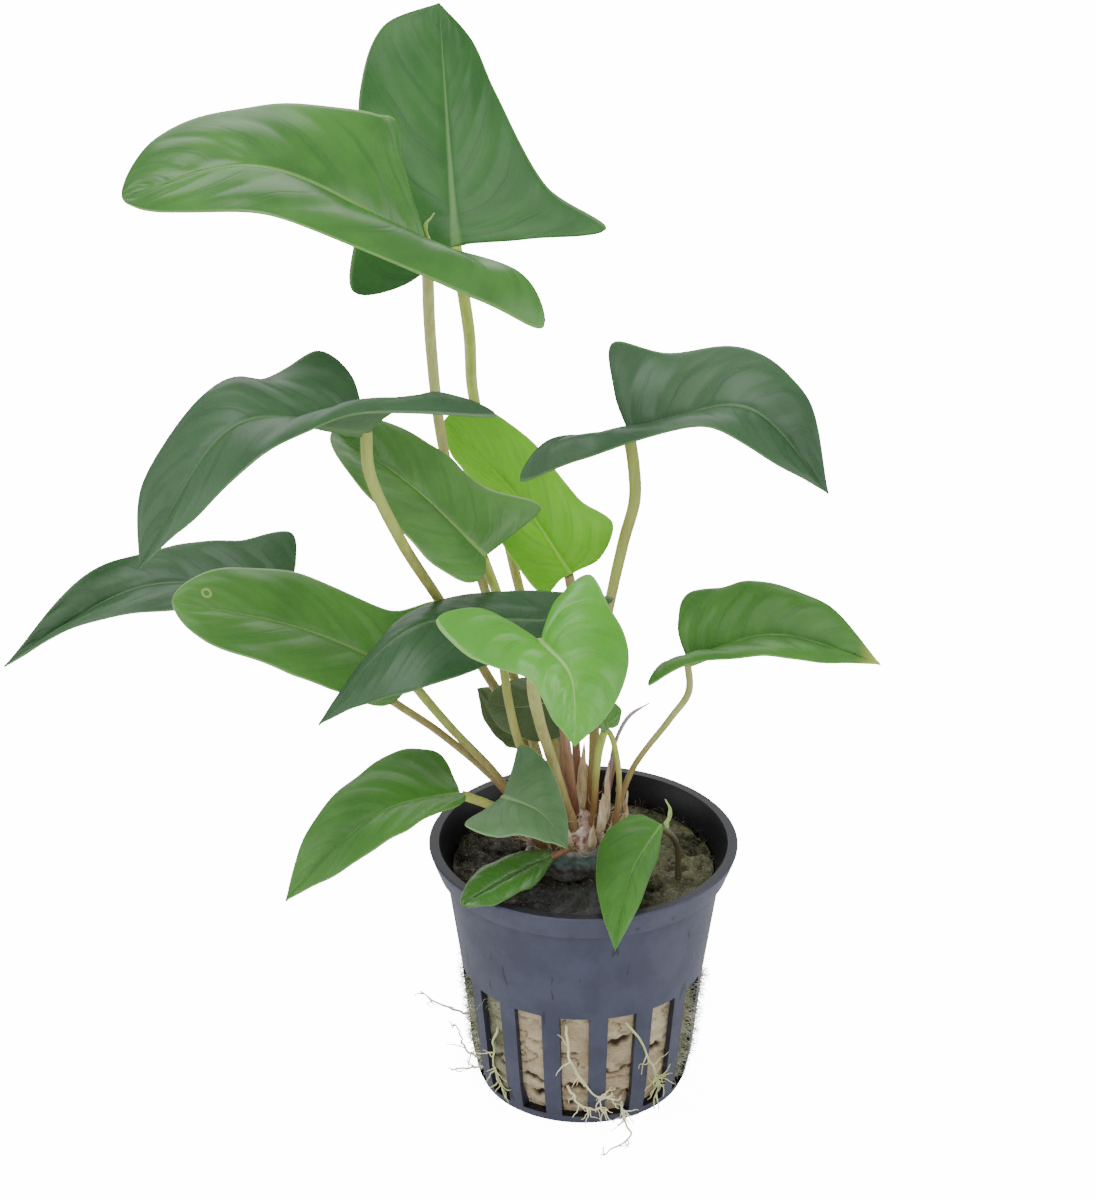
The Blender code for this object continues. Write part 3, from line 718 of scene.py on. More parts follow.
@dataclass(frozen=True)
class Growth:
    """The three Geometry Nodes trees, and the way to run one."""

    tubes: Tree
    fibres: Tree
    perforations: Tree

    def run(self, name: str, source: Piece, tree: Tree, **values: object) -> Piece:
        """Runs a tree on an object and keeps the result as a plain mesh.

        Args:
            name: The new piece's name.
            source: The object that the tree reads; it is removed.
            tree: The tree.
            **values: Its inputs, with underscores for spaces.

        Returns:
            The new piece.
        """
        modifier = source.modifiers.new("growth", "NODES")
        modifier.node_group = tree
        for item in tree.interface.items_tree:
            label = item.name.replace(" ", "_")
            if item.in_out == "INPUT" and label in values:
                modifier[item.identifier] = values[label]
        graph = bpy.context.evaluated_depsgraph_get()
        graph.update()
        mesh = bpy.data.meshes.new_from_object(source.evaluated_get(graph), depsgraph=graph)
        mesh.name = name
        bpy.data.objects.remove(source)
        return place_object(name, mesh)


def threads(name: str, strands: list) -> Piece:
    """Makes the bare lines that the tube tree thickens.

    Args:
        name: The object's name.
        strands: For each line its places and its radii, in millimetres.

    Returns:
        A mesh of vertices and edges, with "thick" and "along" on its points.
    """
    verts, edges, thick, along = [], [], [], []
    for places, radii in strands:
        start = len(verts)
        verts += [tuple(np.asarray(place) * MM) for place in places]
        edges += [(i, i + 1) for i in range(start, len(verts) - 1)]
        thick += [radius * MM for radius in radii]
        along += list(np.linspace(0, 1, len(places)))
    mesh = bpy.data.meshes.new(name)
    mesh.from_pydata(verts, edges, [])
    point_values(mesh, "thick", np.array(thick))
    point_values(mesh, "along", np.array(along))
    return place_object(name, mesh)


# Leaves

FOOT_SHARES = (0.0, 0.0, 0.0, 0.14, 0.42, 0.75, 1.0)
ROW_SHARES = (0.0, 0.25, 0.5, 0.75, 1.0)


@dataclass(frozen=True)
class Tone:
    """The colours of one leaf."""

    blade: Colour
    deep: Colour
    vein: Colour
    rib: Colour
    roughness: float = 0.36
    gloss: float = 0.38


class Green(Enum):
    """The greens that the leaves come in."""

    BLUE = Tone((0.042, 0.11, 0.042), (0.018, 0.055, 0.023), (0.06, 0.15, 0.06), (0.14, 0.26, 0.1), 0.34)
    DARK = Tone((0.04, 0.145, 0.028), (0.016, 0.07, 0.016), (0.075, 0.2, 0.055), (0.15, 0.3, 0.095),
                gloss=0.28)
    DULL = Tone((0.1, 0.15, 0.06), (0.06, 0.1, 0.04), (0.14, 0.2, 0.08), (0.32, 0.42, 0.22), 0.5)
    MATT = Tone((0.085, 0.19, 0.07), (0.05, 0.13, 0.045), (0.12, 0.24, 0.09), (0.3, 0.45, 0.2), 0.42, 0.5)
    MID = Tone((0.07, 0.22, 0.028), (0.03, 0.12, 0.016), (0.12, 0.3, 0.06), (0.22, 0.42, 0.11))
    GLOSSY = Tone((0.055, 0.18, 0.025), (0.04, 0.12, 0.02), (0.09, 0.24, 0.04), (0.22, 0.36, 0.12), 0.2, 0.5)
    SATIN = Tone((0.06, 0.21, 0.026), (0.02, 0.09, 0.013), (0.1, 0.28, 0.055), (0.24, 0.44, 0.12), 0.24, 0.6)
    LIGHT = Tone((0.085, 0.25, 0.035), (0.035, 0.13, 0.018), (0.14, 0.32, 0.07), (0.3, 0.5, 0.15), 0.32, 0.55)
    PALE = Tone((0.1, 0.28, 0.045), (0.05, 0.17, 0.03), (0.16, 0.35, 0.08), (0.32, 0.53, 0.17), 0.32, 0.6)
    FRESH = Tone((0.1, 0.4, 0.025), (0.055, 0.26, 0.015), (0.18, 0.49, 0.06), (0.36, 0.62, 0.18), 0.32, 0.65)
    YOUNG = Tone((0.18, 0.52, 0.018), (0.09, 0.33, 0.01), (0.27, 0.6, 0.05), (0.44, 0.7, 0.14), 0.4, 0.25)


@dataclass(frozen=True)
class Half:
    """One half of a blade: the tip of its lobe and its widest place.

    flank and shoulder are the margin between lobe and widest place, and from there to the tip;
    inner is the lobe's edge beside the stem. Each is a place, or a number that says how far the
    margin swells there (flank in millimetres, the others as a share of the run).
    """

    lobe: Place
    side: Place
    flank: Place | float = 1.0
    shoulder: Place | float = 0.13
    inner: Place | float = 0.2


@dataclass(frozen=True)
class Leaf:
    """A blade: where the stem meets it, its midrib's middle, its tip, its halves and its look."""

    name: str
    base: Place
    mid: Place
    tip: Place
    left: Half
    right: Half
    belly: float = 0.8
    pointed: bool = True
    tone: Green = Green.MID
    veins: float = 6.5
    quilt: float = 0.3
    wave: float = 0.25
    buckle: float = 0.5
    ripe: float = 0.0
    mark: Place | None = None
    small: bool = False

    def margin(self, half: Half) -> Array:
        """Lists the seven places of a half's margin, from the stem round the lobe to the tip.

        Args:
            half: The half.

        Returns:
            The places, one a row.
        """
        base, mid, tip = (np.asarray(place, float) for place in (self.base, self.mid, self.tip))
        lobe, side = np.asarray(half.lobe, float), np.asarray(half.side, float)
        inner, flank, shoulder = half.inner, half.flank, half.shoulder
        if isinstance(inner, float):
            run = lobe - base
            inner = base + 0.5 * run - inner * np.linalg.norm(run) * across(side - base, run)
        if isinstance(flank, float):
            middle = (lobe + side) / 2
            flank = middle + flank * across(middle - base, side - lobe)
        if isinstance(shoulder, float):
            run = tip - side
            shoulder = side + 0.52 * run + shoulder * np.linalg.norm(run) * across(side - mid, run)
        return np.array([base, inner, lobe, flank, side, shoulder, tip], float)

    def upward(self) -> Array:
        """The direction that the blade's upper face looks in, on the whole."""
        forward = unit(np.subtract(self.tip, self.base))
        return unit(np.cross(forward, np.subtract(self.left.side, self.right.side)))

    def spread(self, half: Half, other: Half, rows: int, columns: int) -> Array:
        """Lays a fine grid of places over one half.

        Args:
            half: The half.
            other: The other half, which a round tip runs on into.
            rows: Rows from the lobe's inner edge to the tip; a multiple of four, and one.
            columns: Steps from midrib to margin.

        Returns:
            The grid, as rows by columns by three.
        """
        span = (rows - 1) // 4
        after = None if self.pointed else self.margin(other)[-2]
        edge = smooth(self.margin(half), span, after)
        inner, edge = edge[:2 * span + 1], edge[2 * span:]
        row = np.linspace(0, 1, rows)
        shares = smooth(np.column_stack([ROW_SHARES, FOOT_SHARES[2:], np.zeros(5)]), span)[:, 1]
        rib = smooth(np.array([self.base, self.mid, self.tip]), 60)
        run = np.linspace(0, 1, len(rib))
        feet = np.stack([np.interp(shares, run, rib[:, axis]) for axis in range(3)], 1)
        span_length = np.linalg.norm(edge - feet, axis=1)
        reach = span_length / span_length.max()
        out = np.linspace(0, 1, columns + 1)
        bend = evenly(inner, columns + 1) - inner[0] - (inner[-1] - inner[0]) * out[:, None]
        near_lobe = np.maximum(0, 1 - shares / FOOT_SHARES[4]) ** 2
        swell = self.belly * np.outer(reach * np.minimum(1, shares / FOOT_SHARES[3]), 4 * out * (1 - out))
        grid = feet[:, None] + (edge - feet)[:, None] * out[None, :, None]
        grid += near_lobe[:, None, None] * bend[None] + swell[..., None] * self.upward()
        grid += self.ripple(row, out, half is self.left)[..., None] * self.upward()
        return grid

    def ripple(self, row: Array, out: Array, left: bool) -> Array:
        """Gives the slow waves of the margin.

        Args:
            row: Each row's share of the way from lobe to tip.
            out: Each column's share of the way from midrib to margin.
            left: Which half this is.

        Returns:
            Heights in millimetres.
        """
        start = len(self.name) + (2.0 if left else 0.0)
        beat = np.sin(2 * math.pi * (2.6 * row) + start) + 0.5 * np.sin(2 * math.pi * 5.3 * row + 2 * start)
        return self.wave * np.outer(beat * np.sin(math.pi * np.clip(row, 0, 1)), out ** 3)


@dataclass(frozen=True)
class Blade:
    """Builds one leaf's blade as a thin closed shell, and dresses it."""

    leaf: Leaf
    effects: Effects
    rows: int = 89
    columns: int = 22
    thickness: float = 0.5
    keel: float = 0.85
    channel: float = 0.25
    small_channel: float = 0.05
    sweep: float = 0.2
    ripe_colour: Colour = (0.62, 0.6, 0.12)
    mark_colour: Colour = (0.42, 0.6, 0.2)
    mark_radius: float = 0.8

    def sheet(self) -> tuple:
        """Joins both halves into one grid from the left margin over the midrib to the right.

        Returns:
            The places, and for each its row share and its signed share out from the midrib.
        """
        leaf = self.leaf
        left = leaf.spread(leaf.left, leaf.right, self.rows, self.columns)
        right = leaf.spread(leaf.right, leaf.left, self.rows, self.columns)
        right[:, 0] = left[:, 0]
        places = np.concatenate([left[:, ::-1], right[:, 1:]], 1)
        out = np.linspace(-1, 1, 2 * self.columns + 1)
        row = np.linspace(0, 1, self.rows)
        return places, np.broadcast_to(row[:, None], places.shape[:2]), np.broadcast_to(out, places.shape[:2])

    def normals(self, places: Array) -> Array:
        """Finds the sheet's normals on its upper side.

        Args:
            places: The sheet's places.

        Returns:
            One vector of length one for each place.
        """
        down = np.gradient(places, axis=0)
        over = np.gradient(places, axis=1)
        normal = np.cross(over, down)
        normal[-1] = normal[-2]
        normal /= np.maximum(np.linalg.norm(normal, axis=2, keepdims=True), 1e-9)
        if float((normal @ self.leaf.upward()).mean()) < 0:
            normal = -normal
        for _ in range(2):
            normal[1:-1] = normal[1:-1] + 0.5 * (normal[:-2] + normal[2:])
            normal[:, 1:-1] = normal[:, 1:-1] + 0.5 * (normal[:, :-2] + normal[:, 2:])
            normal /= np.maximum(np.linalg.norm(normal, axis=2, keepdims=True), 1e-9)
        return normal

    def relief(self, row: Array, out: Array) -> Array:
        """Gives the quilting between the side veins, slow buckles, and the channel over the midrib.

        Args:
            row: Each place's share of the way from lobe to tip.
            out: Each place's signed share of the way from the midrib.

        Returns:
            Heights in millimetres.
        """
        away = np.abs(out)
        phase = (row - self.sweep * away ** VEIN_CURVE + VEIN_STAGGER * np.sign(-out)) * self.leaf.veins
        pillow = np.abs(np.sin(math.pi * (phase + 0.5))) ** 0.6 - 0.7
        window = ramp(away, 0.0, 0.18) * ramp(away, 1.0, 0.6) * ramp(row, 1.0, 0.85)
        deep = self.small_channel if self.leaf.small else self.channel
        channel = -deep * np.exp(-(away / 0.05) ** 2) * ramp(row, 1.0, 0.5)
        start = 3.7 * len(self.leaf.name) + self.leaf.base[0]
        spots = zip(row.ravel(), out.ravel())
        slow = np.array([noise.noise(Vector((3.2 * along, 1.7 * side, start))) for along, side in spots])
        slow = slow.reshape(row.shape) * ramp(away, 0.05, 0.4) * ramp(away, 1.0, 0.7) * ramp(row, 1.0, 0.85)
        return self.leaf.quilt * pillow * window + self.leaf.buckle * slow + channel

    def build(self) -> Piece:
        """Builds the blade's mesh.

        Returns:
            The leaf.
        """
        places, row, out = self.sheet()
        normal = self.normals(places)
        away = np.abs(out)
        places = places + self.relief(row, out)[..., None] * normal
        body = self.thickness * (1 - 0.55 * away ** 4) * (1 - 0.5 * ramp(row, 0.9, 1.0))
        keel = self.keel * np.exp(-(away / 0.055) ** 2) * (1 - 0.8 * row) * (0.5 if self.leaf.small else 1.0)
        upper = places + normal * (body / 2)[..., None]
        lower = places - normal * (body / 2 + keel)[..., None]
        flat = np.stack([row, 0.5 + 0.5 * out], -1)
        rows, columns = away.shape
        middle = columns // 2
        over, beneath, flat = (np.vstack([grid[:-1].reshape(-1, grid.shape[2]), grid[-1, middle]])
                               for grid in (upper, lower, flat))
        tip = len(over) - 1
        top = grid_faces(rows - 1, columns)
        top += [(tip - columns + i, tip - columns + i + 1, tip) for i in range(columns - 1)]
        ring = list(range(columns)) + [r * columns + columns - 1 for r in range(1, rows - 1)] + [tip]
        ring += [r * columns for r in range(rows - 2, 0, -1)]
        faces = shell_faces(top, ring, len(over))
        first = np.cross(upper[1, middle] - upper[0, middle], upper[0, middle + 1] - upper[0, middle])
        if float(first @ normal[0, middle]) > 0:
            faces = [tuple(reversed(face)) for face in faces]
        piece = mesh_piece(f"blade_{self.leaf.name}", np.vstack([over, beneath]), faces, self.dress())
        point_uvs(piece.data, "blade_map", np.vstack([flat, flat]))
        point_values(piece.data, "under", np.repeat([0.0, 1.0], len(over)))
        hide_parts(f"leaf_{self.leaf.name}")
        return piece

    def dress(self) -> Material:
        """Makes the leaf's finish from its tone.

        Returns:
            The material.
        """
        leaf, tone = self.leaf, self.leaf.tone.value
        finish = Finish(self.effects, f"leaf_{leaf.name}", Specular_IOR_Level=tone.gloss,
                        Subsurface_Weight=0.12, Subsurface_Scale=0.001, Subsurface_Radius=(0.3, 1.0, 0.15))
        w = finish.w
        blade_map = w.add("ShaderNodeUVMap", uv_map="blade_map").outputs[0]
        veins = finish.group(self.effects.veins, Map=blade_map, Count=leaf.veins, Sweep=self.sweep,
                             Rib_Width=0.03).outputs
        blotches, grain = finish.mottle(70.0, 2500.0)
        under = finish.stored("under")
        colour = w.blend(w.times(blotches, 0.5), tone.blade, tone.deep)
        # The valley coat is painted shade in the vein grooves; the other coats are the leaf's own vein, rib
        # and margin colours.
        for label, share, shade in (("Valleys", 0.55, tone.deep), ("Stripes", 0.1, tone.vein),
                                    ("Veins", 0.2, tone.vein), ("Rib", 0.6, tone.rib),
                                    ("Margin", 0.6, tone.rib)):
            colour = w.blend(w.times(veins[label], share), colour, shade)
        if leaf.ripe:
            colour = w.blend(w.remap(veins["Along"], 0.88, 1.0, 0.0, leaf.ripe), colour, self.ripe_colour)
        if leaf.mark:
            centre = tuple(part * MM for part in leaf.mark)
            apart = w.add("ShaderNodeVectorMath", {0: finish.place, 1: centre}, operation="DISTANCE")
            away = w.sum("ABSOLUTE", w.minus(apart.outputs["Value"], self.mark_radius * MM))
            colour = w.blend(w.times(w.remap(away, 0.00035, 0.0), 0.8), colour, self.mark_colour)
        rough = w.plus(w.plus(tone.roughness, w.times(grain, 0.12)), w.times(under, 0.12))
        height = w.minus(w.times(grain, 0.25), w.times(veins["Veins"], 0.5))
        height = w.plus(height, w.times(veins["Stripes"], 0.25))
        colour = w.blend(under, colour, w.blend(0.4, colour, tone.rib))
        return finish.close(colour, rough, (0.4, FINE_BUMP, height))


LEAVES = (
    Leaf("top_rear", base=(-22, 18, 154), mid=(-23.5, 33, 171), tip=(-25, 44, 188.5),
         left=Half((-39.5, 18, 145.5), (-38.5, 36, 175.5), flank=(-38, 26, 160), shoulder=(-34.5, 42, 185),
                   inner=(-31, 17, 147)),
         right=Half((3.5, 16, 157.5), (-15, 36, 174.5), flank=(-6.5, 25, 162),
                    shoulder=(-19.5, 41, 183), inner=(-9, 17, 155.5)),
         tone=Green.DARK),
    Leaf("top_front", base=(-26, 0, 160.5), mid=(-53, -6, 176), tip=(-74.5, -8, 171.5),
         left=Half((-7, -10, 150), (-49, -18, 171.5), flank=(-18, -13, 156),
                   shoulder=(-69.5, -13, 171), inner=(-10, -5, 157)),
         right=Half((-31.5, 12, 178), (-53, 9, 181.5), flank=(-35.5, 12, 179),
                    shoulder=(-70, 1, 178), inner=(-30, 8, 171.5)),
         belly=1.0, pointed=False, tone=Green.SATIN, quilt=0.4),
    Leaf("upper_left", base=(-36, -16, 134.5), mid=(-56, -22, 138), tip=(-71.5, -36, 119),
         left=Half((-14.5, -22, 139.5), (-51.5, -33, 137), flank=(-38, -22, 139.5),
                   shoulder=(-63, -37, 127.5), inner=(-25, -16, 141)),
         right=Half((-44, -4, 143.5), (-58.5, -12, 142), flank=(-52.5, -9, 140.5),
                    shoulder=(-71.5, -25, 129), inner=(-38.5, -8, 140.5)),
         belly=1.5, tone=Green.BLUE, mark=(-60.9, -14, 140.1)),
    Leaf("centre", base=(-17, -4, 106), mid=(-29, 2, 116), tip=(-43, 8, 124),
         left=Half((-20, -12, 105), (-33, -10, 116.5), flank=(-26.5, -13, 110), shoulder=(-41.5, 0, 122)),
         right=Half((-7.5, 2, 112.5), (-25, 10, 119.5), flank=(-17, 7, 114), shoulder=(-35.5, 11, 125),
                    inner=(-12.5, -1, 108.5)),
         pointed=False, tone=Green.LIGHT),
    Leaf("centre_rear", base=(-2.5, 10, 96), mid=(-10.5, 18, 105.5), tip=(-24.5, 26, 118.5),
         left=Half((-7, 4, 95), (-20, 17, 111), flank=(-12.5, 7, 100.5), shoulder=(-24, 23, 115),
                   inner=(-4, 7, 96.5)),
         right=Half((5, 14, 104), (-8.5, 26, 113.5), flank=(-0.5, 19, 106), shoulder=(-18.5, 29, 119.5)),
         pointed=False, tone=Green.YOUNG),
    Leaf("upper_right", base=(7.5, 4, 125), mid=(27, 0, 131.5), tip=(40.5, -8, 119.5),
         left=Half((4.5, 12, 138.5), (28, 10, 138), flank=(13, 13, 136.5), shoulder=(37, 2, 133),
                   inner=(5, 8, 131)),
         right=Half((-11, -6, 121), (19, -8, 131.5), flank=(-0.5, -3, 123.5),
                    shoulder=(31, -11, 126.5), inner=(-6.5, -1, 126)),
         belly=1.2, tone=Green.BLUE),
    Leaf("far_left", base=(-52, 14, 90.5), mid=(-78, 14, 91.5), tip=(-101.5, 4, 81),
         left=Half((-44, 6, 90.5), (-73, 6, 91), flank=(-59, 6, 92), shoulder=(-89, 4, 88.5)),
         right=Half((-52, 24, 97.5), (-72.5, 22, 96), flank=(-61.5, 22, 97), shoulder=(-87.5, 14, 94),
                    inner=(-51, 20, 94)),
         tone=Green.BLUE),
    Leaf("mid_left", base=(-31, -2, 83), mid=(-49, -3, 92), tip=(-70, -8, 99.5),
         left=Half((-34.5, -8, 79.5), (-51, -14, 89.5), flank=(-41.5, -12, 84), shoulder=(-65, -12, 94.5)),
         right=Half((-25.5, 8, 91.5), (-51, 6, 98.5), flank=(-33.5, 5, 91.5), shoulder=(-65, -1, 101.5),
                    inner=(-27, 3, 86.5)),
         pointed=False, tone=Green.PALE, mark=(-64.3, -5, 99.8)),
    Leaf("lower_dark", base=(-7, -6, 95), mid=(-29, -16, 98.5), tip=(-44.5, -26, 85.5),
         left=Half((-2.5, -10, 89), (-27.5, -26, 92), flank=(-14.5, -18, 93), shoulder=(-36.5, -27, 90)),
         right=Half((5, -1, 96.5), (-28, -8, 98.5), flank=(-12, -2, 98.5), shoulder=(-38, -17, 92),
                    inner=(-1, -2, 94)),
         belly=1.0, tone=Green.BLUE, veins=12.0, quilt=0.16),
    Leaf("front", base=(-7.5, -22, 99), mid=(-2.5, -34, 98), tip=(-2, -42, 90),
         left=Half((0.5, -14, 107.5), (7, -24, 97.5), flank=(3.5, -16, 103.5), shoulder=(4, -34, 92.5),
                   inner=(-5, -16, 103.5)),
         right=Half((-24.5, -28, 106), (-9.5, -34, 98), flank=(-19.5, -33, 102),
                    shoulder=(-5.5, -39, 93.5), inner=(-18, -24, 106)),
         belly=1.0, tone=Green.FRESH, quilt=0.4),
    Leaf("right", base=(18, 2, 83), mid=(32.5, 0, 89), tip=(51, -4, 85.5),
         left=Half((18, 11, 91.5), (31, 8, 95.5), flank=(23.5, 10, 93.5), shoulder=(42, 3, 93.5),
                   inner=(16.5, 6, 87.5)),
         right=Half((11, -4, 81.5), (30, -9, 89.5), flank=(18, -4, 85.5), shoulder=(40, -8, 88),
                    inner=(14, 0, 84)),
         belly=1.2, tone=Green.MID, ripe=0.6),
    Leaf("inner", base=(-4.5, 1, 76), mid=(-11, -1, 75.5), tip=(-17, -1, 76),
         left=Half((-4, -3, 71), (-12, -4, 71.5)),
         right=Half((-6.5, 5, 77.5), (-13.5, 3, 78.5)),
         tone=Green.DULL, quilt=0.1, buckle=0.25, small=True),
    Leaf("inner_rear", base=(-9, 12, 62.5), mid=(-15, 13, 66.5), tip=(-19, 14, 71.5),
         left=Half((-9.5, 9, 62), (-15, 9, 63.5)),
         right=Half((-7.5, 16, 64), (-14, 17, 68.5)),
         tone=Green.DULL, quilt=0.1, buckle=0.25, small=True),
    Leaf("small_rear", base=(4, -2, 72), mid=(3, 0, 74.5), tip=(1, 2, 77.5),
         left=Half((2.5, -6, 74.5), (1, -4, 77)),
         right=Half((6.3, 0.2, 72.4), (4.8, 2.7, 75)),
         belly=0.3, tone=Green.LIGHT, quilt=0.1, wave=0.1, buckle=0.1, small=True),
    Leaf("lower_left", base=(-21.5, -10, 63.5), mid=(-35, -15, 62.5), tip=(-51.5, -22, 49),
         left=Half((-21.5, -15, 64), (-34, -24, 61.5), flank=(-27.5, -20, 64), shoulder=(-43.5, -26, 56)),
         right=Half((-25.5, -1, 66.5), (-40.5, -6, 64), flank=(-32, -2, 67.5), shoulder=(-48.5, -14, 57),
                    inner=(-23, -5, 64)),
         belly=1.0, tone=Green.MID),
    Leaf("lower_centre", base=(-14, -14, 65), mid=(-7.5, -19, 64.5), tip=(-3, -24, 60.5),
         left=Half((-11, -10, 73), (-4.5, -14, 67), flank=(-7, -11, 71), shoulder=(-3, -19, 63),
                   inner=(-12.5, -11.5, 68.3)),
         right=Half((-20.5, -20, 63), (-11, -24, 63), flank=(-16.5, -23, 62.5),
                    shoulder=(-6.5, -25, 62.5), inner=(-17.5, -16, 63)),
         tone=Green.MATT, quilt=0.12, buckle=0.25, small=True),
    Leaf("low_glossy", base=(-6, -12, 52), mid=(-14, -18, 50.5), tip=(-21, -24.5, 49.5),
         left=Half((-6, -14, 51.5), (-11.5, -21, 49.8)),
         right=Half((-7, -9, 51.5), (-16, -14, 52)),
         belly=1.2, pointed=False, tone=Green.GLOSSY, quilt=0.12, buckle=0.25, small=True),
    Leaf("lower_right", base=(13.5, -8, 56), mid=(8, -20, 53), tip=(5, -35, 47),
         left=Half((13.5, -9, 55), (11.5, -18, 52), shoulder=(8.5, -28, 50)),
         right=Half((6.5, -8, 57), (2, -18, 52), flank=(3, -12, 55), shoulder=(3, -28, 50)),
         tone=Green.MID, quilt=0.14, buckle=0.25, small=True),
)


# Stems

@dataclass(frozen=True)
class StalkTone:
    """The colours of a stem, from under its leaf down to the rhizome."""

    top: Colour
    middle: Colour
    foot: Colour


class Stalk(Enum):
    """The colours that the stems come in."""

    PALE = StalkTone((0.52, 0.56, 0.2), (0.44, 0.4, 0.15), (0.36, 0.25, 0.12))
    YELLOW = StalkTone((0.46, 0.58, 0.11), (0.44, 0.45, 0.13), (0.34, 0.2, 0.09))
    OLIVE = StalkTone((0.4, 0.48, 0.11), (0.4, 0.34, 0.13), (0.3, 0.16, 0.08))
    BROWN = StalkTone((0.36, 0.28, 0.13), (0.34, 0.2, 0.12), (0.28, 0.12, 0.08))
    MOSSY = StalkTone((0.3, 0.36, 0.12), (0.12, 0.12, 0.06), (0.1, 0.09, 0.05))
    DRY = StalkTone((0.44, 0.38, 0.38), (0.36, 0.28, 0.27), (0.28, 0.2, 0.15))


@dataclass(frozen=True)
class Stem:
    """A stem from its foot on the rhizome up to the base of the leaf of its name, if there is one."""

    name: str
    radius: float
    foot: tuple
    via: tuple
    tone: Stalk = Stalk.OLIVE


STEMS = (
    Stem("top_rear", 0.9, (-3.2, 4.3),
         ((-7, 9, 74), (-12, 22, 90), (-16, 31, 104.5), (-19.5, 32, 120.5), (-20, 24, 136)), Stalk.YELLOW),
    Stem("top_front", 0.85, (-5.3, 1.8),
         ((-9.5, 6, 67.5), (-14, 7, 83.5), (-18.5, 10, 97), (-24, 14, 116), (-26, 9, 138.5)), Stalk.PALE),
    Stem("upper_left", 0.85, (-6.3, 4.4),
         ((-11.2, 7, 66.5), (-17, 6.5, 78), (-24.5, -4.5, 97.5), (-31, -13.5, 114), (-35.5, -17, 127.5))),
    Stem("centre", 0.75, (-4.6, -1.6),
         ((-8, -5, 61), (-12, -6.5, 74), (-14, -4, 85.5), (-14.5, 0.5, 94)), Stalk.YELLOW),
    Stem("centre_rear", 0.75, (-0.6, 4.6), ((-1.5, 7.5, 70), (-1, 10.5, 84)), Stalk.BROWN),
    Stem("upper_right", 0.9, (1.6, 2.6),
         ((2.5, 4.5, 80), (6.5, 4.5, 104), (8.5, 4, 113), (8.3, 4, 119))),
    Stem("far_left", 0.7, (-8.4, 1.6),
         ((-15, 1.5, 59), (-25.5, 3, 68.5), (-33.5, 5, 73.5), (-44, 9, 80))),
    Stem("mid_left", 0.7, (-8.3, -0.8), ((-15, -3.5, 63), (-23.5, -4, 73.5))),
    Stem("lower_dark", 0.8, (-1.6, 0.6), ((-2.7, -5, 67), (-4, -6.3, 77), (-5.7, -5.3, 88)),
         Stalk.BROWN),
    Stem("front", 0.95, (-1.9, -2.4), ((-5.5, -8, 68.5), (-7.8, -12, 79), (-8.8, -17.5, 89)),
         Stalk.PALE),
    Stem("right", 0.55, (5.2, 2.0), ((8.5, 2.5, 61), (15, 2, 71.5), (18.3, 2, 77)), Stalk.PALE),
    Stem("inner", 0.5, (-3.4, 1.4), ((-4, 2, 66),), Stalk.BROWN),
    Stem("inner_rear", 0.5, (-5.0, 6.2), ((-7.5, 9.5, 56),), Stalk.BROWN),
    Stem("small_rear", 0.6, (1.6, -1.2), ((2.2, -3, 64), (2.7, -3, 68.5)), Stalk.YELLOW),
    Stem("arching", 0.5, (5.0, -1.9),
         ((6.2, -1.8, 59.5), (5.9, -1, 65), (4.6, 0, 69.8), (3.6, 0.6, 70.6)), Stalk.YELLOW),
    Stem("dry_twig", 0.35, (4.3, 0.3),
         ((4.8, 2, 62.5), (5.8, 2.5, 67.5), (8, 2.5, 72), (11.5, 2.5, 74.6)), Stalk.DRY),
    Stem("old_sheath", 0.8, (3.3, 4.2), ((4.3, 4.4, 57), (5.6, 4.6, 63.5)), Stalk.BROWN),
    Stem("lower_left", 0.7, (-7.0, -3.2), ((-11, -8, 56.5), (-16, -10.7, 61.3)), Stalk.YELLOW),
    Stem("lower_centre", 0.6, (-4.8, -4.2), ((-7.5, -8.5, 56), (-11.5, -11.5, 61.5))),
    Stem("low_glossy", 0.5, (-1.4, -4.7), ((-3, -9, 51.5),)),
    Stem("lower_right", 0.5, (16.8, -5.0, 43.6), ((16.3, -5.5, 51),), Stalk.MOSSY),
)


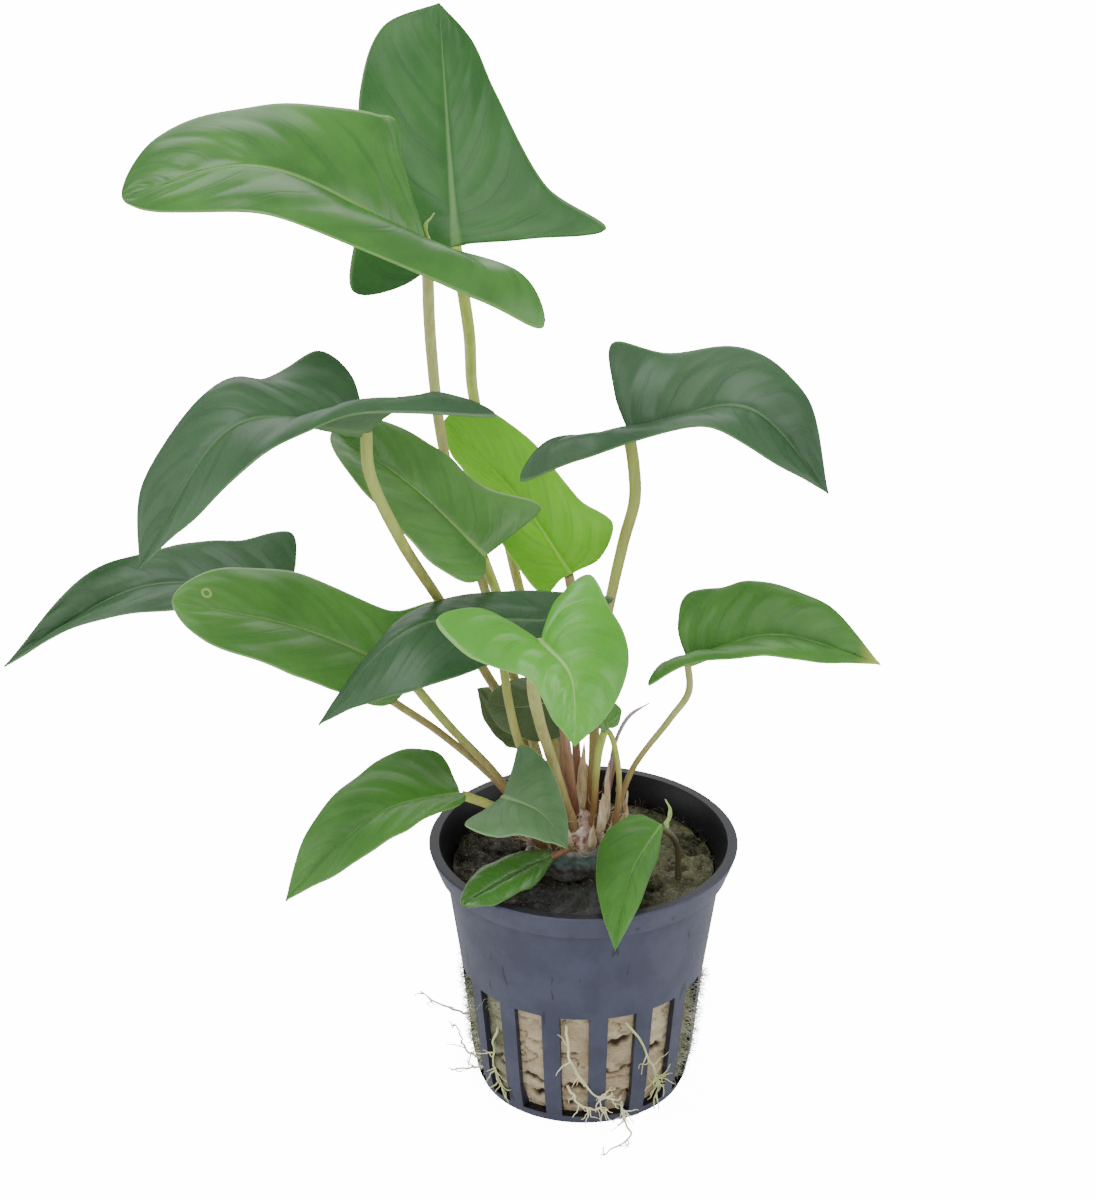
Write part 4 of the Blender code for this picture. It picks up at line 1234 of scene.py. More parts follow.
@dataclass(frozen=True)
class Rhizome:
    """The creeping rhizome, seen as a lumpy dome among the stem feet.

    The soil and the film on it start and end over ranges of height, or of depth, in metres.
    """

    effects: Effects
    centre: tuple = (-1.5, 0.5)
    size: Place = (8.6, 6.6, 10.0)
    foot: float = 44.2
    lumps: float = 0.13
    scars: float = 0.018
    flecks: float = 0.035
    sink: float = 0.8
    soil_top: tuple = (0.0505, 0.047)
    soil_back: tuple = (0.002, -0.001)
    film_foot: tuple = (0.0455, 0.047)
    film_top: tuple = (0.051, 0.0485)
    around: int = 160
    up: int = 64

    def height(self, x: float, y: float) -> float:
        """Gives the dome's height over a place, all in millimetres."""
        share = ((x - self.centre[0]) / self.size[0]) ** 2 + ((y - self.centre[1]) / self.size[1]) ** 2
        return self.foot + self.size[2] * math.sqrt(max(0.0, 1 - share))

    def build(self) -> Piece:
        """Builds the dome with its lumps and ringed leaf scars.

        Returns:
            The piece.
        """
        verts, hollow = [], []
        for level in range(self.up):
            lift = 0.5 * math.pi * level / self.up
            flat = math.cos(lift)
            for step in range(self.around):
                turn = 2 * math.pi * step / self.around
                ball = Vector((flat * math.cos(turn), flat * math.sin(turn), math.sin(lift)))
                lump = noise.fractal(ball * 2.6, 0.7, 2.0, 3) * self.lumps
                scar = math.sin(16.0 * ball.z + 3.0 * noise.noise(ball * 2.0))
                fleck = noise.fractal(ball * 9.0, 0.8, 2.0, 3)
                swell = 1 + lump + self.scars * scar + self.flecks * fleck
                verts.append((self.centre[0] + self.size[0] * swell * ball.x,
                              self.centre[1] + self.size[1] * swell * ball.y,
                              self.foot - self.sink + self.size[2] * swell * ball.z))
                # How sunken each place is in the scar rings and flecks, for the painted shade in the finish.
                hollow.append(0.5 - 0.35 * scar - 0.6 * fleck)
        piece = mesh_piece("rhizome_skin", np.array(verts), capped_faces(self.up, self.around), self.dress())
        point_values(piece.data, "hollow", np.clip(hollow, 0, 1))
        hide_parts("rhizome")
        return piece

    def dress(self) -> Material:
        """Makes the rhizome's pinkish brown skin, whitish where it is rubbed, with painted shade darkening
        its sunken scar rings and flecks.

        Returns:
            The material.
        """
        finish = Finish(self.effects, "rhizome_skin", Subsurface_Weight=0.1, Subsurface_Scale=0.001)
        w = finish.w
        _, back, up = finish.axes
        blotches, grain = finish.mottle(260.0, 2200.0)
        # The last coat is painted shade where the skin sinks in.
        bark = w.coats(w.blend(blotches, (0.48, 0.28, 0.22), (0.82, 0.62, 0.58)),
                       (w.remap(w.noise(finish.place, 420.0, 2.0), 0.52, 0.66), (0.92, 0.83, 0.76)),
                       (w.remap(finish.stored("hollow"), 0.5, 0.95), (0.22, 0.11, 0.065)))
        film = w.times(w.remap(up, *self.film_foot), w.remap(up, *self.film_top))
        soil = w.coats(w.blend(grain, (0.03, 0.028, 0.026), (0.14, 0.13, 0.12)),
                       (w.times(film, 0.8), (0.12, 0.21, 0.19)))
        buried = w.times(w.remap(up, *self.soil_top), w.remap(back, *self.soil_back))
        rough = w.plus(0.35, w.times(grain, 0.3))
        return finish.close(w.blend(buried, bark, soil), rough, (0.6, 3 * FINE_BUMP, grain))


@dataclass(frozen=True)
class Stems:
    """The leaf stems, the old sheath, the dry twig and the arching shoot.

    Their foot's colour sets in over a range of height, in metres.
    """

    effects: Effects
    growth: Growth
    rhizome: Rhizome
    foot_range: tuple = (0.066, 0.053)
    samples: int = 60
    sides: int = 16

    def build(self) -> list:
        """Builds every stem and returns the pieces."""
        skins = {tone: self.dress(f"stem_{tone.name.lower()}", tone.value) for tone in Stalk}
        return [self.one(stem, skins[stem.tone]) for stem in STEMS]

    def one(self, stem: Stem, material: Material) -> Piece:
        """Builds one stem.

        Args:
            stem: The stem.
            material: Its finish.

        Returns:
            The piece.
        """
        foot = stem.foot
        if len(foot) == 2:
            foot = (*foot, self.rhizome.height(*foot) - 1.0)
        route = [foot, *stem.via]
        leaf = next((leaf for leaf in LEAVES if leaf.name == stem.name), None)
        if leaf:
            route.append(tuple(np.asarray(leaf.base, float) - 0.45 * leaf.upward()))
        places = evenly(np.array(route), self.samples)
        share = np.linspace(0, 1, self.samples)
        radii = stem.radius * (1 + 0.25 * ramp(share, 0.18, 0.0))
        if leaf:
            radii = radii * (1 + 0.18 * ramp(share, 0.4, 0.9))
        elif stem.name != "arching":
            radii = radii * (1 - 0.7 * ramp(share, 0.85, 1.0))
        source = threads(f"thread_{stem.name}", [(places, radii)])
        piece = self.growth.run(f"stalk_{stem.name}", source, self.growth.tubes, Sides=self.sides,
                                Bumps=0.00008, Bump_Scale=500.0, Material=material)
        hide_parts(f"stem_{stem.name}")
        return piece

    def dress(self, name: str, tone: StalkTone) -> Material:
        """Makes a stem's finish, reddish brown where it leaves the rhizome.

        Args:
            name: The material's name.
            tone: Its colours.

        Returns:
            The material.
        """
        finish = Finish(self.effects, name, Specular_IOR_Level=0.4)
        w = finish.w
        blotches, grain = finish.mottle(900.0, 4000.0, 0.08)
        patch = w.minus(w.noise(finish.place, 110.0, 2.0), 0.5)
        drift = w.plus(finish.stored("along"), w.times(patch, 0.5))
        low = w.plus(finish.axes[2], w.times(patch, 0.012))
        colour = w.coats(tone.middle, (w.remap(drift, 0.35, 0.85), tone.top),
                         (w.remap(low, *self.foot_range), tone.foot))
        darker = w.blend(1.0, colour, (0.85, 0.8, 0.74), "MULTIPLY")
        rough = w.plus(0.32, w.times(grain, 0.2))
        return finish.close(w.blend(blotches, colour, darker), rough, (0.4, FINE_BUMP, blotches))


# Papery scales and loose fibre at the crown

@dataclass(frozen=True)
class Scale:
    """A thin curled scale: its foot, its tip and its width."""

    foot: Place
    tip: Place
    width: float


@dataclass(frozen=True)
class Crown:
    """Old papery sheaths round the stem feet, loose brown fibre, and two small green growths."""

    effects: Effects
    growth: Growth
    rhizome: Rhizome
    thickness: float = 0.14
    curl: float = 1.25
    rows: int = 18
    columns: int = 11
    strands: int = 90
    strand_steps: int = 14
    seed: int = 23
    papery: tuple = (
        Scale((3.4, -1.6, 50.5), (4.6, -0.4, 64), 2.6), Scale((5.0, 0.6, 49.5), (6.6, 2.0, 61.5), 2.2),
        Scale((2.6, -3.2, 50), (3.6, -4.2, 60), 2.4), Scale((-2.6, -5.0, 48.5), (-3.6, -7.0, 56), 2.4),
        Scale((-7.4, -2.6, 48.5), (-9.4, -4.6, 55.5), 2.4), Scale((-8.4, 2.2, 48), (-11, 3.4, 56), 2.2),
        Scale((0.2, 5.4, 50), (0.8, 7.4, 60), 2.4), Scale((6.2, 3.0, 47.5), (8.2, 4.2, 56), 2.0),
        Scale((1.0, -4.8, 48.5), (1.8, -6.8, 55), 2.2), Scale((4.6, -3.2, 47.5), (6.2, -4.8, 54), 2.2),
        Scale((-0.6, 3.0, 53), (0.2, 3.8, 66), 2.2), Scale((-5.4, -4.0, 48.5), (-6.8, -6.0, 55), 2.0))
    green: tuple = (Scale((-26.2, 1.0, 159.8), (-25.6, 2.6, 165.2), 1.9),
                    Scale((14.4, -7.2, 54.6), (14.9, -6.2, 60), 1.5))

    def build(self) -> list:
        """Builds the scales and the fibre.

        Returns:
            The pieces.
        """
        tan = self.dress("papery_scale", (0.82, 0.7, 0.48), (0.56, 0.4, 0.25))
        fresh = self.dress("green_scale", (0.34, 0.52, 0.16), (0.16, 0.34, 0.06))
        pieces = []
        for label, scales, finish, slot in (("papery_sheath", self.papery, tan, "dry_sheath"),
                                            ("green_scale", self.green, fresh, "stem")):
            for number, scale in enumerate(scales, 1):
                piece = self.scale(f"{label}_{number}", scale, finish)
                pieces.append(piece)
        pieces.append(self.fibre(tan))
        return pieces

    def scale(self, name: str, scale: Scale, material: Material) -> Piece:
        """Builds one scale, curled round its run and thin at its edges.

        Args:
            name: The piece's name.
            scale: Its places and width.
            material: Its finish.

        Returns:
            The piece.
        """
        rows, columns = self.rows, self.columns
        foot, tip = np.array(scale.foot, float), np.array(scale.tip, float)
        run = tip - foot
        centre = self.rhizome.centre
        outward = across(np.array([foot[0] - centre[0], foot[1] - centre[1], 0.01]), run)
        sideways = np.cross(outward, unit(run))
        start = len(name) + scale.width
        sheets = [[], []]
        for share in np.linspace(0, 1, rows):
            half = 0.5 * scale.width * (1 - share ** 2.2) + 0.06
            bow = 0.9 * math.sin(math.pi * share) - 0.5 * share
            middle = foot + run * share + outward * (bow + 0.2 * math.sin(9 * share + start))
            for spot in np.linspace(-1, 1, columns):
                turn = spot * self.curl
                curl = outward * half * (math.cos(turn) - 1) + sideways * half * math.sin(turn)
                ragged = 0.12 * math.sin(17 * share + 5 * spot + start)
                thick = self.thickness * (1 - 0.7 * abs(spot)) * (1 - 0.6 * share)
                for side, sheet in zip((0.5, -0.5), sheets):
                    sheet.append(middle + curl + outward * (ragged + side * thick))
        ring = list(range(columns)) + [r * columns + columns - 1 for r in range(1, rows)]
        ring += [(rows - 1) * columns + i for i in range(columns - 2, -1, -1)]
        ring += [r * columns for r in range(rows - 2, 0, -1)]
        faces = shell_faces(grid_faces(rows, columns), ring, rows * columns)
        faces = [tuple(reversed(face)) for face in faces]
        return mesh_piece(name, np.array(sheets[0] + sheets[1]), faces, material)

    def fibre(self, material: Material) -> Piece:
        """Builds the loose fibres that stand among the stem feet.

        Args:
            material: Their finish.

        Returns:
            The piece.
        """
        draw = np.random.default_rng(self.seed)
        strands = []
        for _ in range(self.strands):
            turn, reach = draw.uniform(0, 2 * math.pi), draw.uniform(0.35, 1.0)
            x = self.rhizome.centre[0] + self.rhizome.size[0] * reach * math.cos(turn)
            y = self.rhizome.centre[1] + self.rhizome.size[1] * reach * math.sin(turn)
            spot = np.array([x, y, self.rhizome.height(0.97 * x, 0.97 * y) - 0.6])
            heading = unit(np.array([math.cos(turn), math.sin(turn), draw.uniform(0.2, 2.2)]))
            places = [spot]
            for _ in range(6):
                heading = unit(heading + draw.normal(0, 0.35, 3))
                places.append(places[-1] + heading * draw.uniform(0.5, 1.3))
            radii = np.linspace(0.09, 0.03, self.strand_steps)
            strands.append((evenly(np.array(places), self.strand_steps), radii))
        source = threads("thread_fibre", strands)
        piece = self.growth.run("crown_fibre", source, self.growth.tubes, Sides=5, Bumps=0.0,
                                Material=material)
        return piece

    def dress(self, name: str, pale: Colour, dark: Colour) -> Material:
        """Makes a thin scale's streaky finish.

        Args:
            name: The material's name.
            pale: Its lighter colour.
            dark: The colour of its streaks.

        Returns:
            The material.
        """
        finish = Finish(self.effects, name, Subsurface_Weight=0.2, Subsurface_Scale=0.001)
        w = finish.w
        blotches, grain = finish.mottle(1200.0, 3500.0, 0.12)
        rough = w.plus(0.45, w.times(grain, 0.3))
        return finish.close(w.blend(blotches, pale, dark), rough, (0.5, FINE_BUMP, blotches))


# Pot and rockwool

@dataclass(frozen=True)
class NetPot:
    """The moulded net pot: a turned wall with a lip and a band, slots and drains."""

    effects: Effects
    growth: Growth
    rim: float = 27.5
    height: float = 48.5
    lip: float = 2.1
    lip_step: float = 1.8
    band: float = 4.7
    wall: float = 1.0
    floor: float = 1.2
    foot: float = 17.4
    bevel: float = 0.22
    bevel_angle: float = 40.0
    sharp_angle: float = 30.0
    # Shares of painted sheen on the lip's top, and on the slot edges as painted highlight.
    lip_haze: float = 0.12
    edge_haze: float = 0.4
    slots: int = 16
    slot_angle: float = 13.8
    slot_turn: float = -4.4
    slot_foot: float = 2.4
    slot_top: float = 24.7
    drains: int = 8
    drain_width: float = 2.4
    drain_inner: float = 6.0
    drain_outer: float = 14.5
    steps: int = 192
    wall_line: tuple = ((2.0, 19.2), (7.0, 20.2), (24.7, 22.0), (43.3, 24.6))
    foot_line: tuple = ((19.2, 2.0), (18.6, 0.6))
    lip_foot: float = 25.9

    def outside(self, height: float) -> float:
        """Gives the wall's outer radius at a height, both in millimetres."""
        heights, radii = zip(*self.wall_line)
        return float(np.interp(height, heights, radii))

    def open_share(self, turn: float | Array, height: float | Array) -> float | Array:
        """Tells how far inside a slot's opening a place on the wall lies.

        Args:
            turn: The way round, in radians from the front.
            height: The height in millimetres.

        Returns:
            One well inside a slot, nought behind the wall.
        """
        pitch = 360.0 / self.slots
        apart = np.abs((np.degrees(turn) - self.slot_turn + pitch / 2) % pitch - pitch / 2)
        above = ramp(height, self.slot_foot + 0.5, self.slot_foot + 3.0)
        below = ramp(height, self.slot_top - 0.5, self.slot_top - 2.5)
        return ramp(apart, self.slot_angle / 2 - 0.5, self.slot_angle / 2 - 2.0) * (above * below)

    def profile(self) -> list:
        """Lists the turned section, from the middle of the floor inside, over the lip, to the foot.

        Returns:
            Radius and height of each point, in millimetres.
        """
        heights = (7.0, 12.0, 18.0, 24.7, 34.0, 43.3)
        inside = [(self.outside(z) - self.wall, z) for z in heights]
        outside = [(self.outside(z), z) for z in reversed(heights)]
        mouth, top = self.rim - self.lip, self.height
        lip = [(mouth - self.lip_step, top - self.band), (mouth, top - 0.4), (mouth + 0.3, top),
               (self.rim - 0.25, top), (self.rim, top - 0.25), (self.rim - 0.2, top - 0.9),
               (self.lip_foot, top - self.band)]
        foot = [*self.foot_line, (self.foot, 0.0), (0.0, 0.0)]
        return [(0.0, self.floor), (self.foot - 0.6, self.floor), *inside, *lip, *outside, *foot]

    def build(self) -> Piece:
        """Turns the wall, cuts it and rounds its edges.

        Returns:
            The piece.
        """
        ring = self.profile()[1:-1]
        verts = [(0.0, 0.0, self.floor)]
        for radius, height in ring:
            verts += [round_axis(radius, 2 * math.pi * step / self.steps, height)
                      for step in range(self.steps)]
        verts.append((0.0, 0.0, 0.0))
        last = len(verts) - 1
        low = 1 + (len(ring) - 1) * self.steps
        faces = [tuple(reversed(face)) for face in grid_faces(len(ring), self.steps, start=1, closed=True)]
        for step in range(self.steps):
            after = (step + 1) % self.steps
            faces += [(0, 1 + step, 1 + after), (last, low + after, low + step)]
        material = self.dress()
        source = mesh_piece("pot_blank", np.array(verts), faces, material)
        pot = self.growth.run(
            "net_pot_moulded", source, self.growth.perforations, Slots=self.slots,
            Slot_Spread=math.tan(math.radians(self.slot_angle / 2)), Slot_Foot=self.slot_foot * MM,
            Slot_Top=self.slot_top * MM, Slot_Inner=(self.foot - 1.5) * MM, Slot_Outer=self.rim * MM,
            Drains=self.drains, Drain_Width=self.drain_width * MM, Drain_Inner=self.drain_inner * MM,
            Drain_Outer=self.drain_outer * MM, Drain_Depth=(self.floor + 0.5) * MM,
            Turn=math.radians(self.slot_turn), Material=material)
        pot.data.shade_smooth()
        pot.data.set_sharp_from_angle(angle=math.radians(self.sharp_angle))
        self.mark_outside(pot.data)
        soften = pot.modifiers.new("soften", "BEVEL")
        soften.width = self.bevel * MM
        soften.segments = 2
        soften.limit_method = "ANGLE"
        soften.angle_limit = math.radians(self.bevel_angle)
        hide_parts("net_pot")
        return pot

    def mark_outside(self, mesh: Mesh) -> None:
        """Stores each face's share of painted sheen: all of it on the outer wall, some on the slot edges as
        painted highlight and a little on the lip's top; inside faces get none and show painted shade.

        Args:
            mesh: The cut pot.
        """
        haze = np.zeros(len(mesh.polygons), np.float32)
        for face in mesh.polygons:
            reach = Vector((face.center.x, face.center.y, 0.0))
            out = face.normal.dot(reach.normalized())
            beyond = reach.length / MM - self.outside(face.center.z / MM) + self.wall / 2
            if out > 0.3 and beyond > 0:
                haze[face.index] = 1.0
            elif face.normal.z > 0.8 and face.center.z / MM > self.height - 1.0:
                haze[face.index] = self.lip_haze
            elif abs(out) < 0.3 and abs(face.normal.z) < 0.3:
                haze[face.index] = self.edge_haze
        attribute = mesh.attributes.new("haze", "FLOAT", "FACE")
        attribute.data.foreach_set("value", haze)

    def dress(self) -> Material:
        """Makes the black plastic: a painted sheen of bluish grey outside, painted shade of near black
        inside, and a touch glossier inside.

        Returns:
            The material.
        """
        finish = Finish(self.effects, "pot_plastic", Specular_IOR_Level=0.25)
        w = finish.w
        haze = finish.stored("haze")
        blotches, grain = finish.mottle(130.0, 3500.0)
        stain = w.remap(w.noise(finish.stretched(0.25), 560.0, 2.0), 0.67, 0.71)
        outer = w.blend(blotches, (0.05, 0.055, 0.09), (0.066, 0.072, 0.114))
        outer = w.blend(w.times(stain, 0.6), outer, (0.02, 0.021, 0.027))
        rough = w.plus(w.plus(0.32, w.times(haze, 0.04)), w.times(grain, 0.16))
        # Painted shade and sheen: near black inside where the share is nought, bluish grey with its real
        # stains on the outer wall, slot edges and lip.
        return finish.close(w.blend(haze, (0.006, 0.006, 0.008), outer), rough, (0.15, FINE_BUMP, grain))


@dataclass(frozen=True)
class Crack:
    """A crack across a slot: its way round in degrees, its height, half its length and its thickness."""

    degrees: float
    level: float
    reach: float
    thick: float

    def depth(self, turn: float, height: float) -> float:
        """Tells how deep in the crack a place lies.

        Args:
            turn: The way round, in radians from the front.
            height: The height in millimetres.

        Returns:
            One or more well inside, nought beside it.
        """
        apart = (math.degrees(turn) + 180.0) % 360.0 - 180.0 - self.degrees
        line = self.level + 0.45 * math.sin(0.3 * apart + self.level) + 0.2 * math.sin(1.1 * apart)
        return max(0.0, 1 - (apart / self.reach) ** 2) * max(0.0, 1.3 - abs(height - line) / self.thick)


@dataclass(frozen=True)
class Rockwool:
    """The rockwool plug: matted mineral fibre, mossy on top, pale and flaked in the slots.

    The side's colours turn into the top's over a range of height, in metres.
    """

    effects: Effects
    growth: Growth
    pot: NetPot
    gap: float = 0.25
    foot: float = 1.7
    top: float = 43.3
    around: int = 400
    levels: int = 130
    rings: int = 50
    step: float = 0.6
    step_height: float = 7.0
    crevice: float = 1.4
    top_range: tuple = (0.0375, 0.0415)
    cracks: tuple = (Crack(19.0, 18.2, 9.0, 1.2), Crack(-28.0, 9.0, 8.0, 0.8), Crack(-26.0, 5.6, 8.0, 0.9),
                     Crack(-4.0, 8.2, 8.0, 0.9), Crack(-7.0, 4.4, 5.0, 0.6), Crack(17.0, 6.6, 5.0, 0.6),
                     Crack(-50.0, 9.0, 7.0, 0.9), Crack(41.0, 14.0, 8.0, 1.0))

    def side_place(self, turn: float, height: float) -> tuple:
        """Gives one place on the plug's flaked side.

        Args:
            turn: The way round, in radians from the front.
            height: The height in millimetres.

        Returns:
            The radius in millimetres, and how deep in a crevice it lies, from nought to one.
        """
        radius = self.pot.outside(max(height, 2.5)) - self.pot.wall - self.gap
        if height < self.step_height:
            radius -= self.step
        x, y, _ = round_axis(radius, turn, height)
        lump = noise.fractal(Vector((x * 0.14, y * 0.14, height * 0.22)), 0.6, 2.0, 4)
        split = abs(noise.fractal(Vector((x * 0.06, y * 0.06, height * 0.14 + 9)), 0.7, 2.2, 3))
        flake = noise.fractal(Vector((x * 0.6, y * 0.6, height * 1.1)), 0.7, 2.0, 3)
        depth = min(1.0, max(0.0, -0.5 * lump) + max(0.0, 1 - split / 0.035))
        depth = min(1.0, max(depth, *(crack.depth(turn, height) for crack in self.cracks)))
        radius = radius - self.crevice * depth ** 1.3 + 0.12 * min(0.0, flake)
        return radius, min(1.0, depth + max(0.0, -flake) * 0.15)

    def surface(self) -> tuple:
        """Lays out the plug's side and top.

        Returns:
            Its places in millimetres, its faces, how fluffy each place is and how deep it lies in a crevice
            or pit, which the finish darkens as painted shade.
        """
        places, fluff, hollow = [], [], []
        for level in range(self.levels):
            height = self.foot + (self.top - self.foot) * level / (self.levels - 1)
            for step in range(self.around):
                turn = 2 * math.pi * step / self.around
                radius, deep = self.side_place(turn, height)
                places.append(round_axis(radius, turn, height))
                hollow.append(deep)
                flank = ramp(abs(math.sin(turn)), 0.7, 0.97)
                fluff.append(float((0.1 + 0.6 * flank) * self.pot.open_share(turn, height)))
        edge = self.pot.outside(self.top) - self.pot.wall - self.gap
        for ring in range(1, self.rings):
            share = 1 - ring / self.rings
            fade = float(ramp(share, 1.0, 0.93))
            tuft = 0.5 + 0.9 * float(ramp(share, 0.7, 1.0))
            for step in range(self.around):
                x, y, _ = round_axis(edge * share, 2 * math.pi * step / self.around, self.top)
                clump = noise.fractal(Vector((x * 0.17, y * 0.17, 3.0)), 0.6, 2.0, 5)
                pit = noise.fractal(Vector((x * 0.7, y * 0.7, 11.0)), 0.7, 2.0, 3)
                places.append((x, y, self.top + fade * (1.3 * clump + 0.35 * pit)))
                hollow.append(min(1.0, max(0.0, 0.4 - 0.9 * clump - 0.7 * pit)))
                fluff.append(tuft - 0.4 * float(ramp(y, -5.0, -10.0)))
        faces = capped_faces(self.levels + self.rings - 1, self.around)
        return np.array(places), faces, np.array(fluff), np.array(hollow)

    def build(self) -> list:
        """Builds the plug and the loose fibres on it.

        Returns:
            The pieces.
        """
        places, faces, fluff, hollow = self.surface()
        plug = mesh_piece("rockwool_plug", places, faces, self.dress())
        point_values(plug.data, "fluff", fluff)
        point_values(plug.data, "hollow", hollow)
        bed = place_object("fibre_bed", plug.data.copy())
        fuzz = self.growth.run("rockwool_fibres", bed, self.growth.fibres, Density=1.5e6, Length=0.0022,
                               Thickness=0.000035, Arch=0.6, Lean=1.5, Seed=3, Material=self.fibre_material())
        fringe = self.fringe(places, faces)
        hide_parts("rockwool")
        return [plug, fuzz, fringe]

    def fringe(self, places: Array, faces: list) -> Piece:
        """Grows the pale moss that pushes out through the slots at the plug's flanks.

        Args:
            places: The plug's places in millimetres.
            faces: Its faces.

        Returns:
            The piece.
        """
        moss = self.fringe_material()
        source = mesh_piece("fringe_bed", places, faces, moss)
        turn = np.arctan2(places[:, 0], -places[:, 1])
        flank = ramp(np.abs(np.sin(turn)), 0.8, 0.97) * (np.hypot(places[:, 0], places[:, 1]) > 15.0)
        point_values(source.data, "fluff", flank * self.pot.open_share(turn, places[:, 2]))
        return self.growth.run("moss_fringe", source, self.growth.fibres, Density=6.0e6, Length=0.003,
                               Thickness=0.00005, Arch=0.5, Lean=0.8, Seed=8, Material=moss)

    def fringe_material(self) -> Material:
        """Makes the pale moss's finish.

        Returns:
            The material.
        """
        finish = Finish(self.effects, "moss_fringe", Specular_IOR_Level=0.3, Roughness=0.8)
        blotches, _ = finish.mottle(250.0, 900.0)
        return finish.close(finish.w.blend(blotches, (0.3, 0.33, 0.2), (0.7, 0.7, 0.55)))

    def dress(self) -> Material:
        """Makes the wool's finish: cream at the sides, dark brown and mossy on top, with painted shade in its
        crevices and pits and a painted wet sheen of pale grey on the front of the top.

        Returns:
            The material.
        """
        finish = Finish(self.effects, "rockwool", Specular_IOR_Level=0.25)
        w = finish.w
        right, back, up = finish.axes
        hollow = finish.stored("hollow")
        blotches, grain = finish.mottle(110.0, 1700.0, 3.0)
        flanks = w.sum("MAXIMUM", w.remap(right, -0.011, -0.016), w.remap(right, 0.013, 0.019, 0.0, 0.75))
        # The last coat of the side is painted shade in the crevices.
        side = w.coats(w.blend(blotches, (0.5, 0.4, 0.25), (0.68, 0.58, 0.4)),
                       (w.remap(w.noise(finish.place, 90.0, 2.0), 0.52, 0.7, 0.0, 0.4), (0.26, 0.19, 0.1)),
                       (w.remap(grain, 0.6, 0.38, 0.0, 0.3), (0.3, 0.2, 0.11)),
                       (flanks, w.blend(blotches, (0.12, 0.13, 0.07), (0.36, 0.35, 0.23))),
                       (w.remap(hollow, 0.35, 0.95), (0.06, 0.04, 0.022)))
        # Painted wet sheen: a pale grey laid over the front of the top, standing in for light reflected off
        # the wet wool.
        film = w.times(w.remap(back, -0.005, -0.01), w.remap(blotches, 0.1, 0.8, 0.3, 0.9))
        film = w.times(w.times(film, w.remap(right, 0.008, 0.003)), w.remap(right, -0.014, -0.008))
        moss = w.blend(blotches, (0.05, 0.053, 0.025), (0.14, 0.14, 0.07))
        # The third coat is painted shade in the pits between the clumps.
        ground = w.coats(w.blend(blotches, (0.014, 0.011, 0.008), (0.055, 0.046, 0.034)),
                         (w.remap(right, -0.002, 0.008), moss),
                         (w.remap(grain, 0.58, 0.75), (0.24, 0.23, 0.18)),
                         (w.remap(hollow, 0.4, 0.9, 0.0, 0.8), (0.008, 0.006, 0.004)),
                         (film, (0.11, 0.115, 0.118)))
        topmost = w.remap(up, *self.top_range)
        wet = w.times(topmost, w.remap(blotches, 0.3, 0.9))
        rough = w.minus(0.85, w.times(wet, 0.5))
        return finish.close(w.blend(topmost, side, ground), rough, (0.8, 4 * FINE_BUMP, grain))

    def fibre_material(self) -> Material:
        """Makes the loose fibres' finish.

        Returns:
            The material.
        """
        finish = Finish(self.effects, "rockwool_fibre", Specular_IOR_Level=0.3, Roughness=0.8)
        w = finish.w
        blotches, grain = finish.mottle(300.0, 900.0)
        side = w.remap(finish.axes[2], 0.034, 0.03)
        return finish.close(w.coats(w.blend(blotches, (0.04, 0.034, 0.022), (0.15, 0.145, 0.085)),
                                    (w.remap(grain, 0.54, 0.72), (0.34, 0.33, 0.24)),
                                    (w.times(side, 0.85), (0.6, 0.6, 0.42))))


# Roots

IN_SLOT = -0.45
ON_WALL = 0.8
ROOT_STEPS = 48


class Skin(Enum):
    """The colours that the roots come in, each a dull and a bright one."""

    CREAM = ((0.76, 0.68, 0.38), (0.9, 0.84, 0.54))
    GREEN = ((0.5, 0.56, 0.22), (0.74, 0.75, 0.42))
    PALE = ((0.66, 0.7, 0.42), (0.88, 0.9, 0.68))


@dataclass(frozen=True)
class Root:
    """A root: its skin, its spots, and how many side roots it has.

    A spot is the degrees round the pot, the height and the millimetres off the wall. The crowd is
    a stretch with more side roots: its first and last step along the root, and their number.
    """

    name: str
    skin: Skin
    sides: int
    spots: tuple
    crowd: tuple = (0, 0, 0)


ROOTS = (
    Root("left_high", Skin.PALE, 4, ((-91, 11.2, IN_SLOT), (-89, 12.0, 0.6), (-83.5, 15.0, 3.8),
                                     (-82, 19.2, 8.3))),
    Root("left_mid", Skin.PALE, 4, ((-70.5, 6.6, IN_SLOT), (-75, 6.8, 1.1), (-82.5, 11.3, 2.8))),
    Root("left_low", Skin.PALE, 4, ((-68, 5.0, IN_SLOT), (-73, 4.0, 1.4), (-80.5, 2.2, 5.0))),
    Root("slot_left", Skin.GREEN, 4, ((-47, 18.0, IN_SLOT), (-51.7, 10.0, 0.1), (-43.5, 3.4, ON_WALL)),
         (20, 40, 7)),
    Root("front_long", Skin.CREAM, 7, ((-8.3, 23.0, IN_SLOT), (-7.4, 18.0, ON_WALL), (-1.5, 12.0, ON_WALL),
                                       (5, 8.4, ON_WALL), (15.5, 6.8, ON_WALL)), (40, ROOT_STEPS, 9)),
    Root("front_low", Skin.CREAM, 7, ((-8.3, 9.4, IN_SLOT), (-1.5, 6.0, ON_WALL), (12, 4.2, ON_WALL)),
         (34, ROOT_STEPS, 5)),
    Root("front_right", Skin.GREEN, 7, ((20.2, 22.9, IN_SLOT), (22.8, 21.4, 0.6), (29, 17.5, 1.0),
                                        (36, 10.5, ON_WALL), (39, 6.5, 0.9), (37.8, 2.4, 1.2)), (28, 40, 16)),
    Root("floor", Skin.PALE, 4, ((20.5, 4.9, IN_SLOT), (20.5, 1.9, 2.4), (20, 0.6, 5.0), (6.2, 0.5, 9.4)),
         (0, 12, 12)),
)


